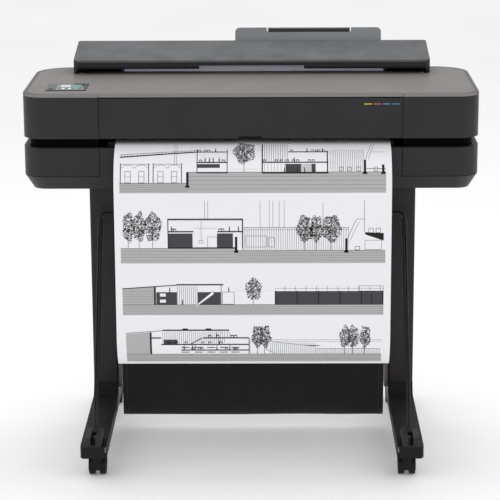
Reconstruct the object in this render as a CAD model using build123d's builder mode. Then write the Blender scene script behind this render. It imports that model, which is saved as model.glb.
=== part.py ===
"""A 24-inch large format plotter on a castor stand, with a roll feed and a media bin.

Millimetres. +Z is up, +X is to the right as seen from the front, and the front faces -Y.
The origin is on the floor, under the middle of the stand.
"""

from build123d import *
import os
from math import cos, radians, sin

os.makedirs("parts", exist_ok=True)

# --- Driving dimensions: stand ------------------------------------------------------------
foot_length = 605.0
foot_width = 60.0
foot_height = 28.0
foot_wall = 2.5
foot_corner = 10.0
leg_x = 359.0
leg_depth = 60.0
leg_front = 86.0
leg_wall = 2.0
leg_corner = 5.0
leg_top_plate = 4.0
collar = 30.0
brace_height = 80.0
brace_depth = 30.0
brace_wall = 1.5
brace_below_body = 16.0
screw_radius = 2.0
screw_head_radius = 3.6
screw_head_height = 2.2

# --- Driving dimensions: castors ----------------------------------------------------------
wheel_radius = 23.0
wheel_width = 14.0
castor_neck = 6.0
castor_web = 5.0
castor_trail = 14.0
castor_inset = 32.5
castor_offset = 6.0
hood_wall = 1.5
stem_radius = 5.5
stem_length = 22.0
axle_radius = 3.0

# --- Driving dimensions: casing -----------------------------------------------------------
body_width = 1013.0
body_front = -230.0
body_back = 150.0
underside = 656.0
lower_height = 98.0
paper_gap = 21.0
upper_height = 93.0
panel_thickness = 7.0
wall = 3.0
front_radius = 48.0
back_radius = 78.0
bevel_width = 30.0
side_bevel = 18.0
floor_radius = 30.0
bevel_height = 33.0
window_half = 335.0
seam = 1.2

# --- Driving dimensions: roll and paper ---------------------------------------------------
sheet_width = 610.0
sheet_thickness = 0.5
sheet_shift = 4.5
roll_radius = 44.0
core_radius = 25.4
spindle_radius = 11.0
flange_radius = 48.0
flange_thickness = 6.0
roll_y = 143.0
roll_drop = 18.0
sheet_front = -298.0
sheet_bottom = 265.6
sheet_turn = 40.0
sheet_drape = 93.0
curl_radius = 100.0
curl_angle = 50.0

# --- Driving dimensions: drives -----------------------------------------------------------
feed_y = 30.0
feed_radius = 12.0
pinch_radius = 7.0
shaft_radius = 4.0
gear_teeth = 30
pinion_teeth = 12
gear_module = 1.0
gear_width = 8.0
rod_radius = 7.0
rod_y = -75.0
rod_rise = 25.0
carriage_width = 110.0
carriage_park = 395.0
pulley_radius = 8.2
pulley_x = 430.0
belt_thickness = 1.5
belt_width = 6.0
cartridge_width = 24.0
cartridge_pitch = 27.5

# --- Driving dimensions: media bin --------------------------------------------------------
bin_lean = 32.1
bin_length = 529.0
bin_pivot_y = -241.0
bin_pivot_rise = 15.0
wire_radius = 2.5
wire_spread = 2.9
top_rod_radius = 3.5
rod_bend = 14.0
fabric_half = 318.0
fabric_thickness = 2.5
fabric_bottom = 40.0
bar_radius = 10.0
bar_z = 158.0

# --- Fits ---------------------------------------------------------------------------------
running = 0.05
clear = 0.3

# --- Heights and places that follow -------------------------------------------------------
half = body_width / 2
sheet_left = sheet_shift - sheet_width / 2
sheet_right = sheet_shift + sheet_width / 2
castor_height = 2 * wheel_radius + castor_neck
foot_z = castor_height
foot_top = foot_z + foot_height
leg_back = leg_front + leg_depth
leg_y = (leg_front + leg_back) / 2
leg_inner = leg_x - foot_width / 2
lower_top = underside + lower_height
upper_bottom = lower_top + paper_gap
upper_top = upper_bottom + upper_height
body_top = upper_top + panel_thickness
roll_z = body_top - roll_drop
rod_z = upper_bottom + rod_rise
bin_pivot_z = foot_top + bin_pivot_rise
bevel_top = underside + bevel_height
paper_z = lower_top + 9.0
feed_z = paper_z - clear - feed_radius
pinch_z = paper_z + sheet_thickness + clear + pinch_radius
frame_x = half - bevel_width - wall - 12.0
frame_thickness = 2.0
web_y = roll_y - roll_radius - clear - sheet_thickness / 2
bar_y = leg_y - 11.0


def plan(half_width, front, back, front_r, back_r, mode=Mode.ADD):
    """Rounded plan of the casing, drawn as a face in the current sketch."""
    with BuildLine() as outline:
        FilletPolyline(
            (-half_width, front),
            (half_width, front),
            (half_width, back),
            (-half_width, back),
            radius=[front_r, front_r, back_r, back_r],
            close=True,
        )
    make_face(outline.line.edges(), mode=mode)


def ring(inset):
    """Casing plan with the same plan, moved in by an inset, cut out of it."""
    plan(half, body_front, body_back, front_radius, back_radius)
    inner_front = front_radius - inset
    inner_back = back_radius - inset
    plan(half - inset, body_front + inset, body_back - inset, inner_front, inner_back, Mode.SUBTRACT)


def box(x_span, y_span, z_span, mode=Mode.ADD):
    """Block between two limits on each axis, added to the current part."""
    size = [b - a for a, b in (x_span, y_span, z_span)]
    middle = [(a + b) / 2 for a, b in (x_span, y_span, z_span)]
    with Locations(tuple(middle)):
        Box(*size, mode=mode)


def round_x(x_span, y, z, radius, mode=Mode.ADD):
    """Round bar or bore along X between two limits, in the current part."""
    with BuildSketch(Plane.YZ.offset(x_span[0])) as disc:
        with Locations((y, z)):
            Circle(radius)
    extrude(disc.sketch, amount=x_span[1] - x_span[0], mode=mode)


def side_profile(x_start, x_amount, points, mode=Mode.ADD):
    """Plate with a straight-sided outline in Y and Z, given a thickness along X."""
    with BuildSketch(Plane.YZ.offset(x_start)) as outline:
        with BuildLine():
            Polyline(*points, close=True)
        make_face()
    extrude(outline.sketch, amount=x_amount, mode=mode)


# --- Stand: feet, legs, brace and screws --------------------------------------------------
castor_spots = {
    "front_left": (-1, -1),
    "front_right": (1, -1),
    "rear_left": (-1, 1),
    "rear_right": (1, 1),
}


def castor_x(side):
    return side * (leg_x - castor_offset)


def castor_y(end):
    return end * (foot_length / 2 - castor_inset)


for side, name in ((-1, "left"), (1, "right")):
    low, high = side * leg_x - foot_width / 2, side * leg_x + foot_width / 2
    with BuildPart() as foot:
        box((low, high), (-foot_length / 2, foot_length / 2), (foot_z, foot_top))
        fillet(foot.edges().filter_by(Axis.Z), foot_corner)
        # swept collar that grips the leg front and back
        with BuildSketch(Plane.YZ.offset(low)):
            with BuildLine():
                Line((leg_front, foot_top), (leg_front, foot_top + collar))
                RadiusArc((leg_front, foot_top + collar), (leg_front - collar, foot_top), collar)
                Line((leg_front - collar, foot_top), (leg_front, foot_top))
            make_face()
            with BuildLine():
                Line((leg_back, foot_top), (leg_back, foot_top + collar))
                RadiusArc((leg_back, foot_top + collar), (leg_back + collar, foot_top), -collar)
                Line((leg_back + collar, foot_top), (leg_back, foot_top))
            make_face()
        extrude(amount=foot_width)
        box(
            (low + foot_wall, high - foot_wall),
            (-foot_length / 2 + foot_wall, foot_length / 2 - foot_wall),
            (foot_z, foot_top - foot_wall),
            mode=Mode.SUBTRACT,
        )
        for end in (-1, 1):
            with BuildSketch(Plane.XY.offset(foot_z)):
                with Locations((castor_x(side), castor_y(end))):
                    Circle(stem_radius + 4)
            extrude(amount=foot_height)
            with BuildSketch(Plane.XY.offset(foot_z)):
                with Locations((castor_x(side), castor_y(end))):
                    Circle(stem_radius + running)
            extrude(amount=stem_length + clear, mode=Mode.SUBTRACT)
    foot.part.label = f"{name}_foot"
    export_step(foot.part, f"parts/{name}_foot.step")

# Screws go through the inner face of each leg, in the brace flanges and the bar brackets.
brace_top = underside - brace_below_body
brace_flange = 3.0
bracket_thickness = 9.0
bracket_bottom = bar_z - bar_radius - 55.0
bracket_half = 14.0
screw_spots = [
    (bar_y, bracket_bottom + 14.0, bracket_thickness),
    (bar_y, bracket_bottom + 38.0, bracket_thickness),
    (leg_y, brace_top - 15.0, brace_flange),
    (leg_y, brace_top - brace_height + 15.0, brace_flange),
]

for side, name in ((-1, "left"), (1, "right")):
    with BuildPart() as leg:
        with BuildSketch(Plane.XY.offset(foot_top)):
            with Locations((side * leg_x, leg_y)):
                RectangleRounded(foot_width, leg_depth, leg_corner)
        extrude(amount=underside - foot_top)
        hollow = (foot_width - 2 * leg_wall, leg_depth - 2 * leg_wall)
        with BuildSketch(Plane.XY.offset(foot_top)):
            with Locations((side * leg_x, leg_y)):
                RectangleRounded(*hollow, leg_corner - leg_wall)
        extrude(amount=underside - foot_top - leg_top_plate, mode=Mode.SUBTRACT)
        for y, z, _ in screw_spots:
            inner = side * leg_inner
            ends = sorted((inner, inner + side * leg_wall * 1.5))
            round_x(ends, y, z, screw_radius + running, Mode.SUBTRACT)
    leg.part.label = f"{name}_leg"
    export_step(leg.part, f"parts/{name}_leg.step")

with BuildPart() as cross_brace:
    brace_y = (leg_y - brace_depth / 2, leg_y + brace_depth / 2)
    brace_z = (brace_top - brace_height, brace_top)
    box((-leg_inner, leg_inner), brace_y, brace_z)
    box(
        (-leg_inner + brace_flange, leg_inner - brace_flange),
        (brace_y[0] + brace_wall, brace_y[1] - brace_wall),
        (brace_z[0] - 1, brace_z[1] - brace_wall),
        mode=Mode.SUBTRACT,
    )
    for side in (-1, 1):
        for y, z, depth in screw_spots[2:]:
            ends = sorted((side * (leg_inner - depth - 1), side * (leg_inner + 1)))
            round_x(ends, y, z, screw_radius + running, Mode.SUBTRACT)
cross_brace.part.label = "cross_brace"
export_step(cross_brace.part, "parts/cross_brace.step")

with BuildPart() as stand_screws:
    for side in (-1, 1):
        for y, z, depth in screw_spots:
            sunk = screw_head_height + 0.3 if depth == bracket_thickness else 0.0
            head = leg_inner - depth + sunk
            shank = sorted((side * head, side * (head + depth - sunk + leg_wall)))
            round_x(shank, y, z, screw_radius)
            round_x(sorted((side * head, side * (head - screw_head_height))), y, z, screw_head_radius)
stand_screws.part.label = "stand_screws"
export_step(stand_screws.part, "parts/stand_screws.step")

# --- Castors ------------------------------------------------------------------------------
for corner, (side, end) in castor_spots.items():
    x, y = castor_x(side), castor_y(end)
    axle_y = y - end * castor_trail
    width = castor_web + wheel_width + 2 * clear
    pocket_radius = wheel_radius + 1.0
    with BuildPart() as castor_hood:
        round_x((x - width, x + width), axle_y, wheel_radius, pocket_radius + hood_wall)
        with BuildSketch(Plane.XY.offset(wheel_radius)):
            with Locations((x, y)):
                Circle(stem_radius + 8)
        extrude(amount=castor_height - clear - wheel_radius)
        for way in (-1, 1):
            near = x + way * castor_web
            far = x + way * (width + 1)
            round_x(sorted((near, far)), axle_y, wheel_radius, pocket_radius, Mode.SUBTRACT)
        hood_length = (axle_y - wheel_radius - 7, axle_y + wheel_radius + 7)
        box((x - width - 1, x + width + 1), hood_length, (-5, wheel_radius - 7), Mode.SUBTRACT)
        with BuildSketch(Plane.XY.offset(castor_height - 1)):
            with Locations((x, y)):
                Circle(stem_radius)
        extrude(amount=stem_length + 1 - clear)
        round_x((x - width, x + width), axle_y, wheel_radius, axle_radius + running, Mode.SUBTRACT)
    castor_hood.part.label = f"castor_hood_{corner}"
    export_step(castor_hood.part, f"parts/castor_hood_{corner}.step")
    with BuildPart() as castor_wheels:
        for way in (-1, 1):
            near = x + way * (castor_web + clear)
            far = near + way * wheel_width
            with BuildPart(mode=Mode.PRIVATE) as tyre:
                round_x(sorted((near, far)), axle_y, wheel_radius, wheel_radius)
                chamfer(tyre.edges().filter_by(GeomType.CIRCLE), 1.2)
            add(tyre.part)
            dish = sorted((far - way * 1.5, far + way))
            round_x(dish, axle_y, wheel_radius, wheel_radius - 8, Mode.SUBTRACT)
        round_x((x - width + 3, x + width - 3), axle_y, wheel_radius, axle_radius)
    castor_wheels.part.label = f"castor_wheels_{corner}"
    export_step(castor_wheels.part, f"parts/castor_wheels_{corner}.step")

# --- Media bin: forks, front frame, back bar and fabric ------------------------------------
fork_slot = 2 * (wire_spread + wire_radius) + 2 * 0.25
fork_prong = 13.3
fork_height = bin_pivot_z + 7.0 - foot_top
fork_back = bin_pivot_y + 7.0
eye_radius = 8.0
pin_radius = 2.5
with BuildPart() as rod_holders:
    for side in (-1, 1):
        x = side * leg_x
        half_fork = fork_slot / 2 + fork_prong
        box((x - half_fork, x + half_fork), (-foot_length / 2, fork_back), (foot_top, foot_top + fork_height))
    fillet(rod_holders.edges().filter_by(Axis.Z), 3.0)
    for side in (-1, 1):
        x = side * leg_x
        box(
            (x - fork_slot / 2, x + fork_slot / 2),
            (-foot_length / 2 - 1, fork_back + 1),
            (foot_top + 2.0, foot_top + fork_height + 1),
            mode=Mode.SUBTRACT,
        )
        bore = pin_radius + running
        round_x((x - half_fork - 1, x + half_fork + 1), bin_pivot_y, bin_pivot_z, bore, Mode.SUBTRACT)
    for side in (-1, 1):
        x = side * leg_x
        round_x((x - half_fork, x + half_fork), bin_pivot_y, bin_pivot_z, pin_radius)
rod_holders.part.label = "rod_holders"
export_step(rod_holders.part, "parts/rod_holders.step")

lean = radians(bin_lean)
bin_pivot = (0, bin_pivot_y, bin_pivot_z)
wire_plane = Plane(origin=bin_pivot, x_dir=(1, 0, 0), z_dir=(0, sin(lean), cos(lean)))
bow_plane = Plane(origin=bin_pivot, x_dir=(1, 0, 0), z_dir=(0, -cos(lean), sin(lean)))
sleeve_length = 42.0
sleeve_top = bin_length - rod_bend - 1.0
sleeve_bottom = sleeve_top - sleeve_length
wire_seat = 18.0
with BuildPart() as bin_wires:
    for side in (-1, 1):
        x = side * leg_x
        with BuildSketch(wire_plane.offset(4.0)):
            with Locations((x - wire_spread, 0), (x + wire_spread, 0)):
                Circle(wire_radius)
        extrude(amount=sleeve_bottom + wire_seat - 4.0)
        eye_half = wire_spread + wire_radius
        round_x((x - eye_half, x + eye_half), bin_pivot_y, bin_pivot_z, eye_radius)
        round_x((x - eye_half, x + eye_half), bin_pivot_y, bin_pivot_z, pin_radius + running, Mode.SUBTRACT)
bin_wires.part.label = "bin_wires"
export_step(bin_wires.part, "parts/bin_wires.step")

with BuildPart() as bin_sleeves:
    with BuildSketch(wire_plane.offset(sleeve_bottom)):
        with Locations((-leg_x, 0), (leg_x, 0)):
            SlotOverall(2 * (wire_spread + wire_radius) + 3.0, 2 * top_rod_radius + 3.0)
    extrude(amount=sleeve_length)
    with BuildSketch(wire_plane.offset(sleeve_bottom)):
        for side in (-1, 1):
            with Locations((side * leg_x - wire_spread, 0), (side * leg_x + wire_spread, 0)):
                Circle(wire_radius + running)
    extrude(amount=wire_seat + clear, mode=Mode.SUBTRACT)
    with BuildSketch(wire_plane.offset(sleeve_top)):
        with Locations((-leg_x, 0), (leg_x, 0)):
            Circle(top_rod_radius + running)
    extrude(amount=-wire_seat - clear, mode=Mode.SUBTRACT)
bin_sleeves.part.label = "bin_sleeves"
export_step(bin_sleeves.part, "parts/bin_sleeves.step")

with BuildPart() as bin_top_rod:
    with BuildLine(bow_plane) as bow:
        FilletPolyline(
            (-leg_x, sleeve_top - wire_seat),
            (-leg_x, bin_length),
            (leg_x, bin_length),
            (leg_x, sleeve_top - wire_seat),
            radius=rod_bend,
        )
    with BuildSketch(Plane(origin=bow.line @ 0, z_dir=bow.line % 0)):
        Circle(top_rod_radius)
    sweep()
bin_top_rod.part.label = "bin_top_rod"
export_step(bin_top_rod.part, "parts/bin_top_rod.step")

with BuildPart() as bin_back_bar:
    round_x((-leg_inner, leg_inner), bar_y, bar_z, bar_radius)
bin_back_bar.part.label = "bin_back_bar"
export_step(bin_back_bar.part, "parts/bin_back_bar.step")

with BuildPart() as bin_bar_brackets:
    for side in (-1, 1):
        inner = side * (leg_inner - bracket_thickness)
        across = sorted((inner, side * leg_inner))
        box(across, (bar_y - bracket_half, bar_y + bracket_half), (bracket_bottom, bar_z))
    fillet(bin_bar_brackets.edges().filter_by(Axis.X).group_by(Axis.Z)[0], 6.0)
    round_x((-leg_inner, leg_inner), bar_y, bar_z, bar_radius + running, Mode.SUBTRACT)
    for side in (-1, 1):
        for y, z, depth in screw_spots[:2]:
            face = leg_inner - depth
            round_x(sorted((side * face, side * leg_inner)), y, z, screw_radius + running, Mode.SUBTRACT)
            sink = face + screw_head_height + 0.3
            round_x(sorted((side * face, side * sink)), y, z, screw_head_radius + 0.3, Mode.SUBTRACT)
bin_bar_brackets.part.label = "bin_bar_brackets"
export_step(bin_bar_brackets.part, "parts/bin_bar_brackets.step")

# The bag hangs from the front bow to the back bar in one long loop of cloth.
bow_y = bin_pivot_y + bin_length * sin(lean)
bow_z = bin_pivot_z + bin_length * cos(lean)
bag_radius = (bar_y - bow_y) / 2
with BuildPart() as bin_fabric:
    with BuildSketch(Plane.YZ.offset(-fabric_half)):
        with BuildLine():
            bag_floor = fabric_bottom + fabric_thickness / 2 + bag_radius
            Line((bow_y, bow_z - top_rod_radius - 1.0), (bow_y, bag_floor))
            bag_lowest = (bow_y + bag_radius, bag_floor - bag_radius)
            ThreePointArc((bow_y, bag_floor), bag_lowest, (bar_y, bag_floor))
            Line((bar_y, bag_floor), (bar_y, bar_z - bar_radius - 1.0))
        trace(line_width=fabric_thickness)
    extrude(amount=2 * fabric_half)
bin_fabric.part.label = "bin_fabric"
export_step(bin_fabric.part, "parts/bin_fabric.step")

# --- Lower casing -------------------------------------------------------------------------
door_edge = window_half + seam
door_bottom = bevel_top + seam
door_back = body_front + front_radius
panel_top = lower_top
door_hinge = (body_front + 2.0, door_bottom + 1.5)
door_barrel = 1.5


def tub(shift, lift):
    """Lower casing volume: bevelled below the front and sides, straight above."""
    mode = Mode.SUBTRACT if shift else Mode.ADD
    with BuildSketch(Plane.XY.offset(underside + lift)) as floor:
        plan(
            half - side_bevel - shift,
            body_front + bevel_width + shift,
            body_back - shift,
            floor_radius - shift,
            back_radius - side_bevel - shift,
        )
    with BuildSketch(Plane.XY.offset(bevel_top + lift)) as rim:
        plan(half - shift, body_front + shift, body_back - shift, front_radius - shift, back_radius - shift)
    loft([floor.sketch, rim.sketch], ruled=True, mode=mode)
    extrude(rim.sketch, amount=lower_top - bevel_top, mode=mode)


ledge_width = 16.0
skirt_front = window_half + 3.0
inlet_x = -250.0
inlet_z = underside + 40.0
inlet_size = (28.0, 20.0)
with BuildPart() as base_shell:
    tub(0, 0)
    tub(wall, wall)
    for side in (-1, 1):
        ends = sorted((side * window_half, side * (half + 1)))
        box(ends, (body_front - 1, door_back + seam), (bevel_top, lower_top), Mode.SUBTRACT)
    # flat rim round the top, set back behind the corner panels
    with BuildSketch(Plane.XY.offset(lower_top - wall)):
        ring(ledge_width)
        for side in (-1, 1):
            with BuildSketch(mode=Mode.PRIVATE) as panel_edge:
                ring(wall + running)
                corner_x = side * (window_half + half + 1) / 2
                corner_y = (body_front - 1 + door_back + seam) / 2
                corner_depth = door_back + seam - body_front + 1
                with Locations((corner_x, corner_y)):
                    Rectangle(half + 1 - window_half, corner_depth, mode=Mode.INTERSECT)
            add(panel_edge.sketch, mode=Mode.SUBTRACT)
    extrude(amount=wall)
    # upright skirt that closes the dark gap below the upper casing
    with BuildSketch(Plane.XY.offset(lower_top - wall)):
        plan(half, body_front, body_back, front_radius, back_radius)
        for inset, mode in ((ledge_width - wall, Mode.INTERSECT), (ledge_width, Mode.SUBTRACT)):
            front, back = body_front + inset, body_back - inset
            plan(half - inset, front, back, front_radius - inset, back_radius - inset, mode)
        with Locations((0, body_front)):
            Rectangle(2 * skirt_front, 100.0, mode=Mode.SUBTRACT)
    extrude(amount=upper_bottom + wall - lower_top + wall)
    inlet_span = (inlet_x - inlet_size[0] / 2, inlet_x + inlet_size[0] / 2)
    inlet_rise = (inlet_z - inlet_size[1] / 2, inlet_z + inlet_size[1] / 2)
    box(inlet_span, (body_back - wall - 1, body_back + 1), inlet_rise, Mode.SUBTRACT)
base_shell.part.label = "base_shell"
export_step(base_shell.part, "parts/base_shell.step")


def corner_panel(side):
    """Lower front corner panel, following the casing's own curve."""
    with BuildSketch(Plane.XY.offset(door_bottom)) as skin:
        ring(wall)
        keep = sorted((side * door_edge, side * (half + 1)))
        with Locations(((keep[0] + keep[1]) / 2, (body_front - 1 + door_back) / 2)):
            Rectangle(keep[1] - keep[0], door_back - body_front + 1, mode=Mode.INTERSECT)
    extrude(skin.sketch, amount=panel_top - door_bottom)


with BuildPart() as lower_left_panel:
    corner_panel(-1)
lower_left_panel.part.label = "lower_left_panel"
export_step(lower_left_panel.part, "parts/lower_left_panel.step")

with BuildPart() as ink_door:
    corner_panel(1)
    # pull lip behind the top edge
    lip = (door_edge + 40.0, half - front_radius - 30.0)
    lip_top = lower_top - wall - seam
    box(lip, (body_front + wall, body_front + wall + 5.0), (lip_top - 3.0, lip_top))
    # hinge barrels along the foot of the door
    for start in (door_edge + 10.0, half - front_radius - 50.0):
        round_x((start, start + 40.0), *door_hinge, door_barrel)
ink_door.part.label = "ink_door"
export_step(ink_door.part, "parts/ink_door.step")

with BuildPart() as power_inlet:
    box(inlet_span, (body_back - 20.0, body_back), inlet_rise)
    box(
        (inlet_span[0] + 3, inlet_span[1] - 3),
        (body_back - 15.0, body_back + 1),
        (inlet_rise[0] + 3, inlet_rise[1] - 3),
        mode=Mode.SUBTRACT,
    )
    with BuildSketch(Plane.XZ.offset(-(body_back - 15.5))):
        with Locations((inlet_x - 7, inlet_z - 1), (inlet_x, inlet_z + 2), (inlet_x + 7, inlet_z - 1)):
            Rectangle(2.0, 4.0)
    extrude(amount=-11.0)
power_inlet.part.label = "power_inlet"
export_step(power_inlet.part, "parts/power_inlet.step")

# --- Upper casing -------------------------------------------------------------------------
roll_cut = 411.0
roll_cut_front = 85.0
cover_half = 415.0
cover_front_cut = 10.0
cover_back_cut = 16.0
window_hinge_y = body_front + 3.5
window_hinge_z = upper_top - 4.0
stub_radius = 1.5
rib = 3.0
rib_depth = 14.0
rib_height = 26.0


def skin_band(z_low, z_high):
    """Upright band of casing wall between two heights."""
    with BuildSketch(Plane.XY.offset(z_low)) as skin:
        ring(wall)
    extrude(skin.sketch, amount=z_high - z_low)


trough_floor = roll_z - max(flange_radius, roll_radius) - 3.0
band = (upper_bottom - 1, upper_top + 1)
with BuildPart() as upper_shell:
    skin_band(upper_bottom, upper_top)
    box((-half - 1, half + 1), (body_front - 1, door_back), band, Mode.SUBTRACT)
    back_wall = (body_back - wall - 1, body_back + 1)
    box((-roll_cut, roll_cut), back_wall, (trough_floor - 4.0, upper_top + 1), Mode.SUBTRACT)
upper_shell.part.label = "upper_shell"
export_step(upper_shell.part, "parts/upper_shell.step")

with BuildPart() as front_end_covers:
    skin_band(upper_bottom, upper_top)
    box((-half - 1, half + 1), (door_back - seam, body_back + 1), band, Mode.SUBTRACT)
    box((-door_edge, door_edge), (body_front - 1, body_back), band, Mode.SUBTRACT)
    for side in (-1, 1):
        edge = side * door_edge
        rib_y = (body_front + wall, body_front + rib_depth)
        box(sorted((edge, edge + side * rib)), rib_y, (upper_top - rib_height, upper_top))
        stub = sorted((edge + side * rib, edge - side * (seam + rib - 0.5)))
        round_x(stub, window_hinge_y, window_hinge_z, stub_radius)
front_end_covers.part.label = "front_end_covers"
export_step(front_end_covers.part, "parts/front_end_covers.step")

notch_half = 27.0
window_top = upper_top - 2.5
window_bottom = upper_bottom + 0.5
with BuildPart() as front_window:
    box((-window_half, window_half), (body_front, body_front + wall), (window_bottom, window_top))
    sill = (window_bottom, window_bottom + 2.5)
    box((-window_half, window_half), (body_front, body_front + rib_depth), sill)
    for side in (-1, 1):
        edge = side * window_half
        span = sorted((edge, edge - side * rib))
        box(span, (body_front, body_front + rib_depth), (upper_top - rib_height, window_top))
        round_x(span, window_hinge_y, window_hinge_z, stub_radius + running, Mode.SUBTRACT)
    # finger notch under the middle of the window
    with BuildSketch(Plane.XZ.offset(-(body_front - 1))):
        with Locations((0, window_bottom)):
            SlotOverall(2 * notch_half, 9.0)
    extrude(amount=-rib_depth - 2, mode=Mode.SUBTRACT)
front_window.part.label = "front_window"
export_step(front_window.part, "parts/front_window.step")

screen_x = -412.0
screen_y = -138.0
bezel_size = (90.0, 92.0)
bezel_seat = body_top - 2.0
bezel_top = body_top + 1.5
button_radius = 4.5
button_spot = (screen_x - 35.0, screen_y - 28.0)
display_size = (60.0, 76.0)
display_spot = (screen_x + 7.0, screen_y)
groove_inset = 8.0
cover_hinge_y = 56.0
cover_hinge_z = body_top + 14.0
hinge_block = 13.0
with BuildPart() as top_panel:
    with BuildSketch(Plane.XY.offset(upper_top)):
        plan(half, body_front, body_back, front_radius, back_radius)
    extrude(amount=panel_thickness)
    fillet(top_panel.edges().group_by(Axis.Z)[-1], 3.0)
    with BuildSketch(Plane.XY.offset(upper_top)):
        plan(half - 6, body_front + 6, body_back - 6, front_radius - 6, back_radius - 6)
    extrude(amount=panel_thickness - wall, mode=Mode.SUBTRACT)
    # thin groove that outlines the lid
    with BuildSketch(Plane.XY.offset(body_top)):
        for inset, mode in ((groove_inset, Mode.ADD), (groove_inset + 1.4, Mode.SUBTRACT)):
            front, back = body_front + inset, body_back - inset
            plan(half - inset, front, back, front_radius - inset, back_radius - inset, mode)
    extrude(amount=-1.0, mode=Mode.SUBTRACT)
    box((-roll_cut, roll_cut), (roll_cut_front, body_back + 1), (upper_top - 1, body_top + 1), Mode.SUBTRACT)
    for side in (-1, 1):
        # split in the rim above each end of the window
        line = side * window_half
        split = sorted((line, line + side * seam))
        box(split, (body_front - 1, body_front + 3), (upper_top - 1, body_top + 1), Mode.SUBTRACT)
    box(
        (screen_x - bezel_size[0] / 2, screen_x + bezel_size[0] / 2),
        (screen_y - bezel_size[1] / 2, screen_y + bezel_size[1] / 2),
        (bezel_seat, body_top + 1),
        mode=Mode.SUBTRACT,
    )
    for side in (-1, 1):
        inner = side * (cover_half - wall - cover_front_cut)
        block = sorted((inner, inner - side * hinge_block))
        box(block, (cover_hinge_y - 1.8, cover_hinge_y + 7), (body_top - 1, cover_hinge_z + 5))
        stub = sorted((inner, side * cover_half))
        round_x(stub, cover_hinge_y, cover_hinge_z, 2.0)
top_panel.part.label = "top_panel"
export_step(top_panel.part, "parts/top_panel.step")

with BuildPart() as control_panel:
    with BuildSketch(Plane.XY.offset(bezel_seat)):
        with Locations((screen_x, screen_y)):
            Rectangle(bezel_size[0] - 0.2, bezel_size[1] - 0.2)
    extrude(amount=bezel_top - bezel_seat)
    chamfer(control_panel.edges().group_by(Axis.Z)[-1], 0.8)
    with BuildSketch(Plane.XY.offset(bezel_top)):
        with Locations(display_spot):
            Rectangle(*display_size)
    extrude(amount=-1.5, mode=Mode.SUBTRACT)
    with BuildSketch(Plane.XY.offset(bezel_seat)):
        with Locations(button_spot):
            Circle(button_radius + 0.1)
    extrude(amount=10, mode=Mode.SUBTRACT)
control_panel.part.label = "control_panel"
export_step(control_panel.part, "parts/control_panel.step")

with BuildPart() as touch_screen:
    with BuildSketch(Plane.XY.offset(bezel_top - 1.5)):
        with Locations(display_spot):
            Rectangle(display_size[0] - 0.2, display_size[1] - 0.2)
    extrude(amount=1.3)
touch_screen.part.label = "touch_screen"
export_step(touch_screen.part, "parts/touch_screen.step")

with BuildPart() as power_button:
    with BuildSketch(Plane.XY.offset(bezel_seat + 1.5)):
        with Locations(button_spot):
            Circle(button_radius)
    extrude(amount=bezel_top + 1.2 - bezel_seat - 1.5)
    chamfer(power_button.edges().group_by(Axis.Z)[-1], 0.6)
power_button.part.label = "power_button"
export_step(power_button.part, "parts/power_button.step")

# --- Roll trough, cover and sheet tray ----------------------------------------------------
trough_front = web_y + 8.0
trough_half = roll_cut - 3.0
trough_back = 203.0
cover_back_bottom = (203.0, body_top - 25.0)
cover_front = 41.0
cover_front_top = (44.0, body_top + 32.0)
cover_back_top = (195.0, body_top + 57.0)
with BuildPart() as roll_trough:
    box((-trough_half, trough_half), (trough_front, trough_back), (trough_floor - wall, body_top - 1.5))
    box(
        (-trough_half + wall, trough_half - wall),
        (trough_front - 1, trough_back - wall),
        (trough_floor, body_top),
        mode=Mode.SUBTRACT,
    )
    box(
        (-trough_half - 1, trough_half + 1),
        (body_back + 3, trough_back + 1),
        (cover_back_bottom[1] - 2, body_top),
        mode=Mode.SUBTRACT,
    )
roll_trough.part.label = "roll_trough"
export_step(roll_trough.part, "parts/roll_trough.step")

cradle_x = 388.0
cradle_thickness = 8.0
with BuildPart() as roll_cradles:
    for side in (-1, 1):
        x = side * cradle_x
        span = (x - cradle_thickness / 2, x + cradle_thickness / 2)
        box(span, (roll_y - 26, roll_y + 26), (trough_floor, roll_z))
        round_x((span[0] - 1, span[1] + 1), roll_y, roll_z, spindle_radius + running, Mode.SUBTRACT)
roll_cradles.part.label = "roll_cradles"
export_step(roll_cradles.part, "parts/roll_cradles.step")

with BuildPart() as spindle_rod:
    round_x((-cradle_x - 10, cradle_x + 10), roll_y, roll_z, spindle_radius)
    chamfer(spindle_rod.edges().filter_by(GeomType.CIRCLE), 1.5)
spindle_rod.part.label = "spindle_rod"
export_step(spindle_rod.part, "parts/spindle_rod.step")

hub_gap = 0.2
hub_depth = 30.0
with BuildPart() as spindle_hubs:
    for side, edge in ((-1, sheet_left - hub_gap), (1, sheet_right + hub_gap)):
        round_x(sorted((edge, edge + side * flange_thickness)), roll_y, roll_z, flange_radius)
        round_x(sorted((edge, edge - side * hub_depth)), roll_y, roll_z, core_radius - 0.1)
    for side, edge in ((-1, sheet_left), (1, sheet_right)):
        ends = sorted((edge - side * (hub_depth + 10), edge + side * 20))
        round_x(ends, roll_y, roll_z, spindle_radius + 0.02, Mode.SUBTRACT)
spindle_hubs.part.label = "spindle_hubs"
export_step(spindle_hubs.part, "parts/spindle_hubs.step")

with BuildPart() as media_roll:
    round_x((sheet_left, sheet_right), roll_y, roll_z, roll_radius)
    round_x((sheet_left, sheet_right), roll_y, roll_z, core_radius, Mode.SUBTRACT)
media_roll.part.label = "media_roll"
export_step(media_roll.part, "parts/media_roll.step")

cover_skirt = body_top + 2.0
recess_half = 122.0


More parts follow.
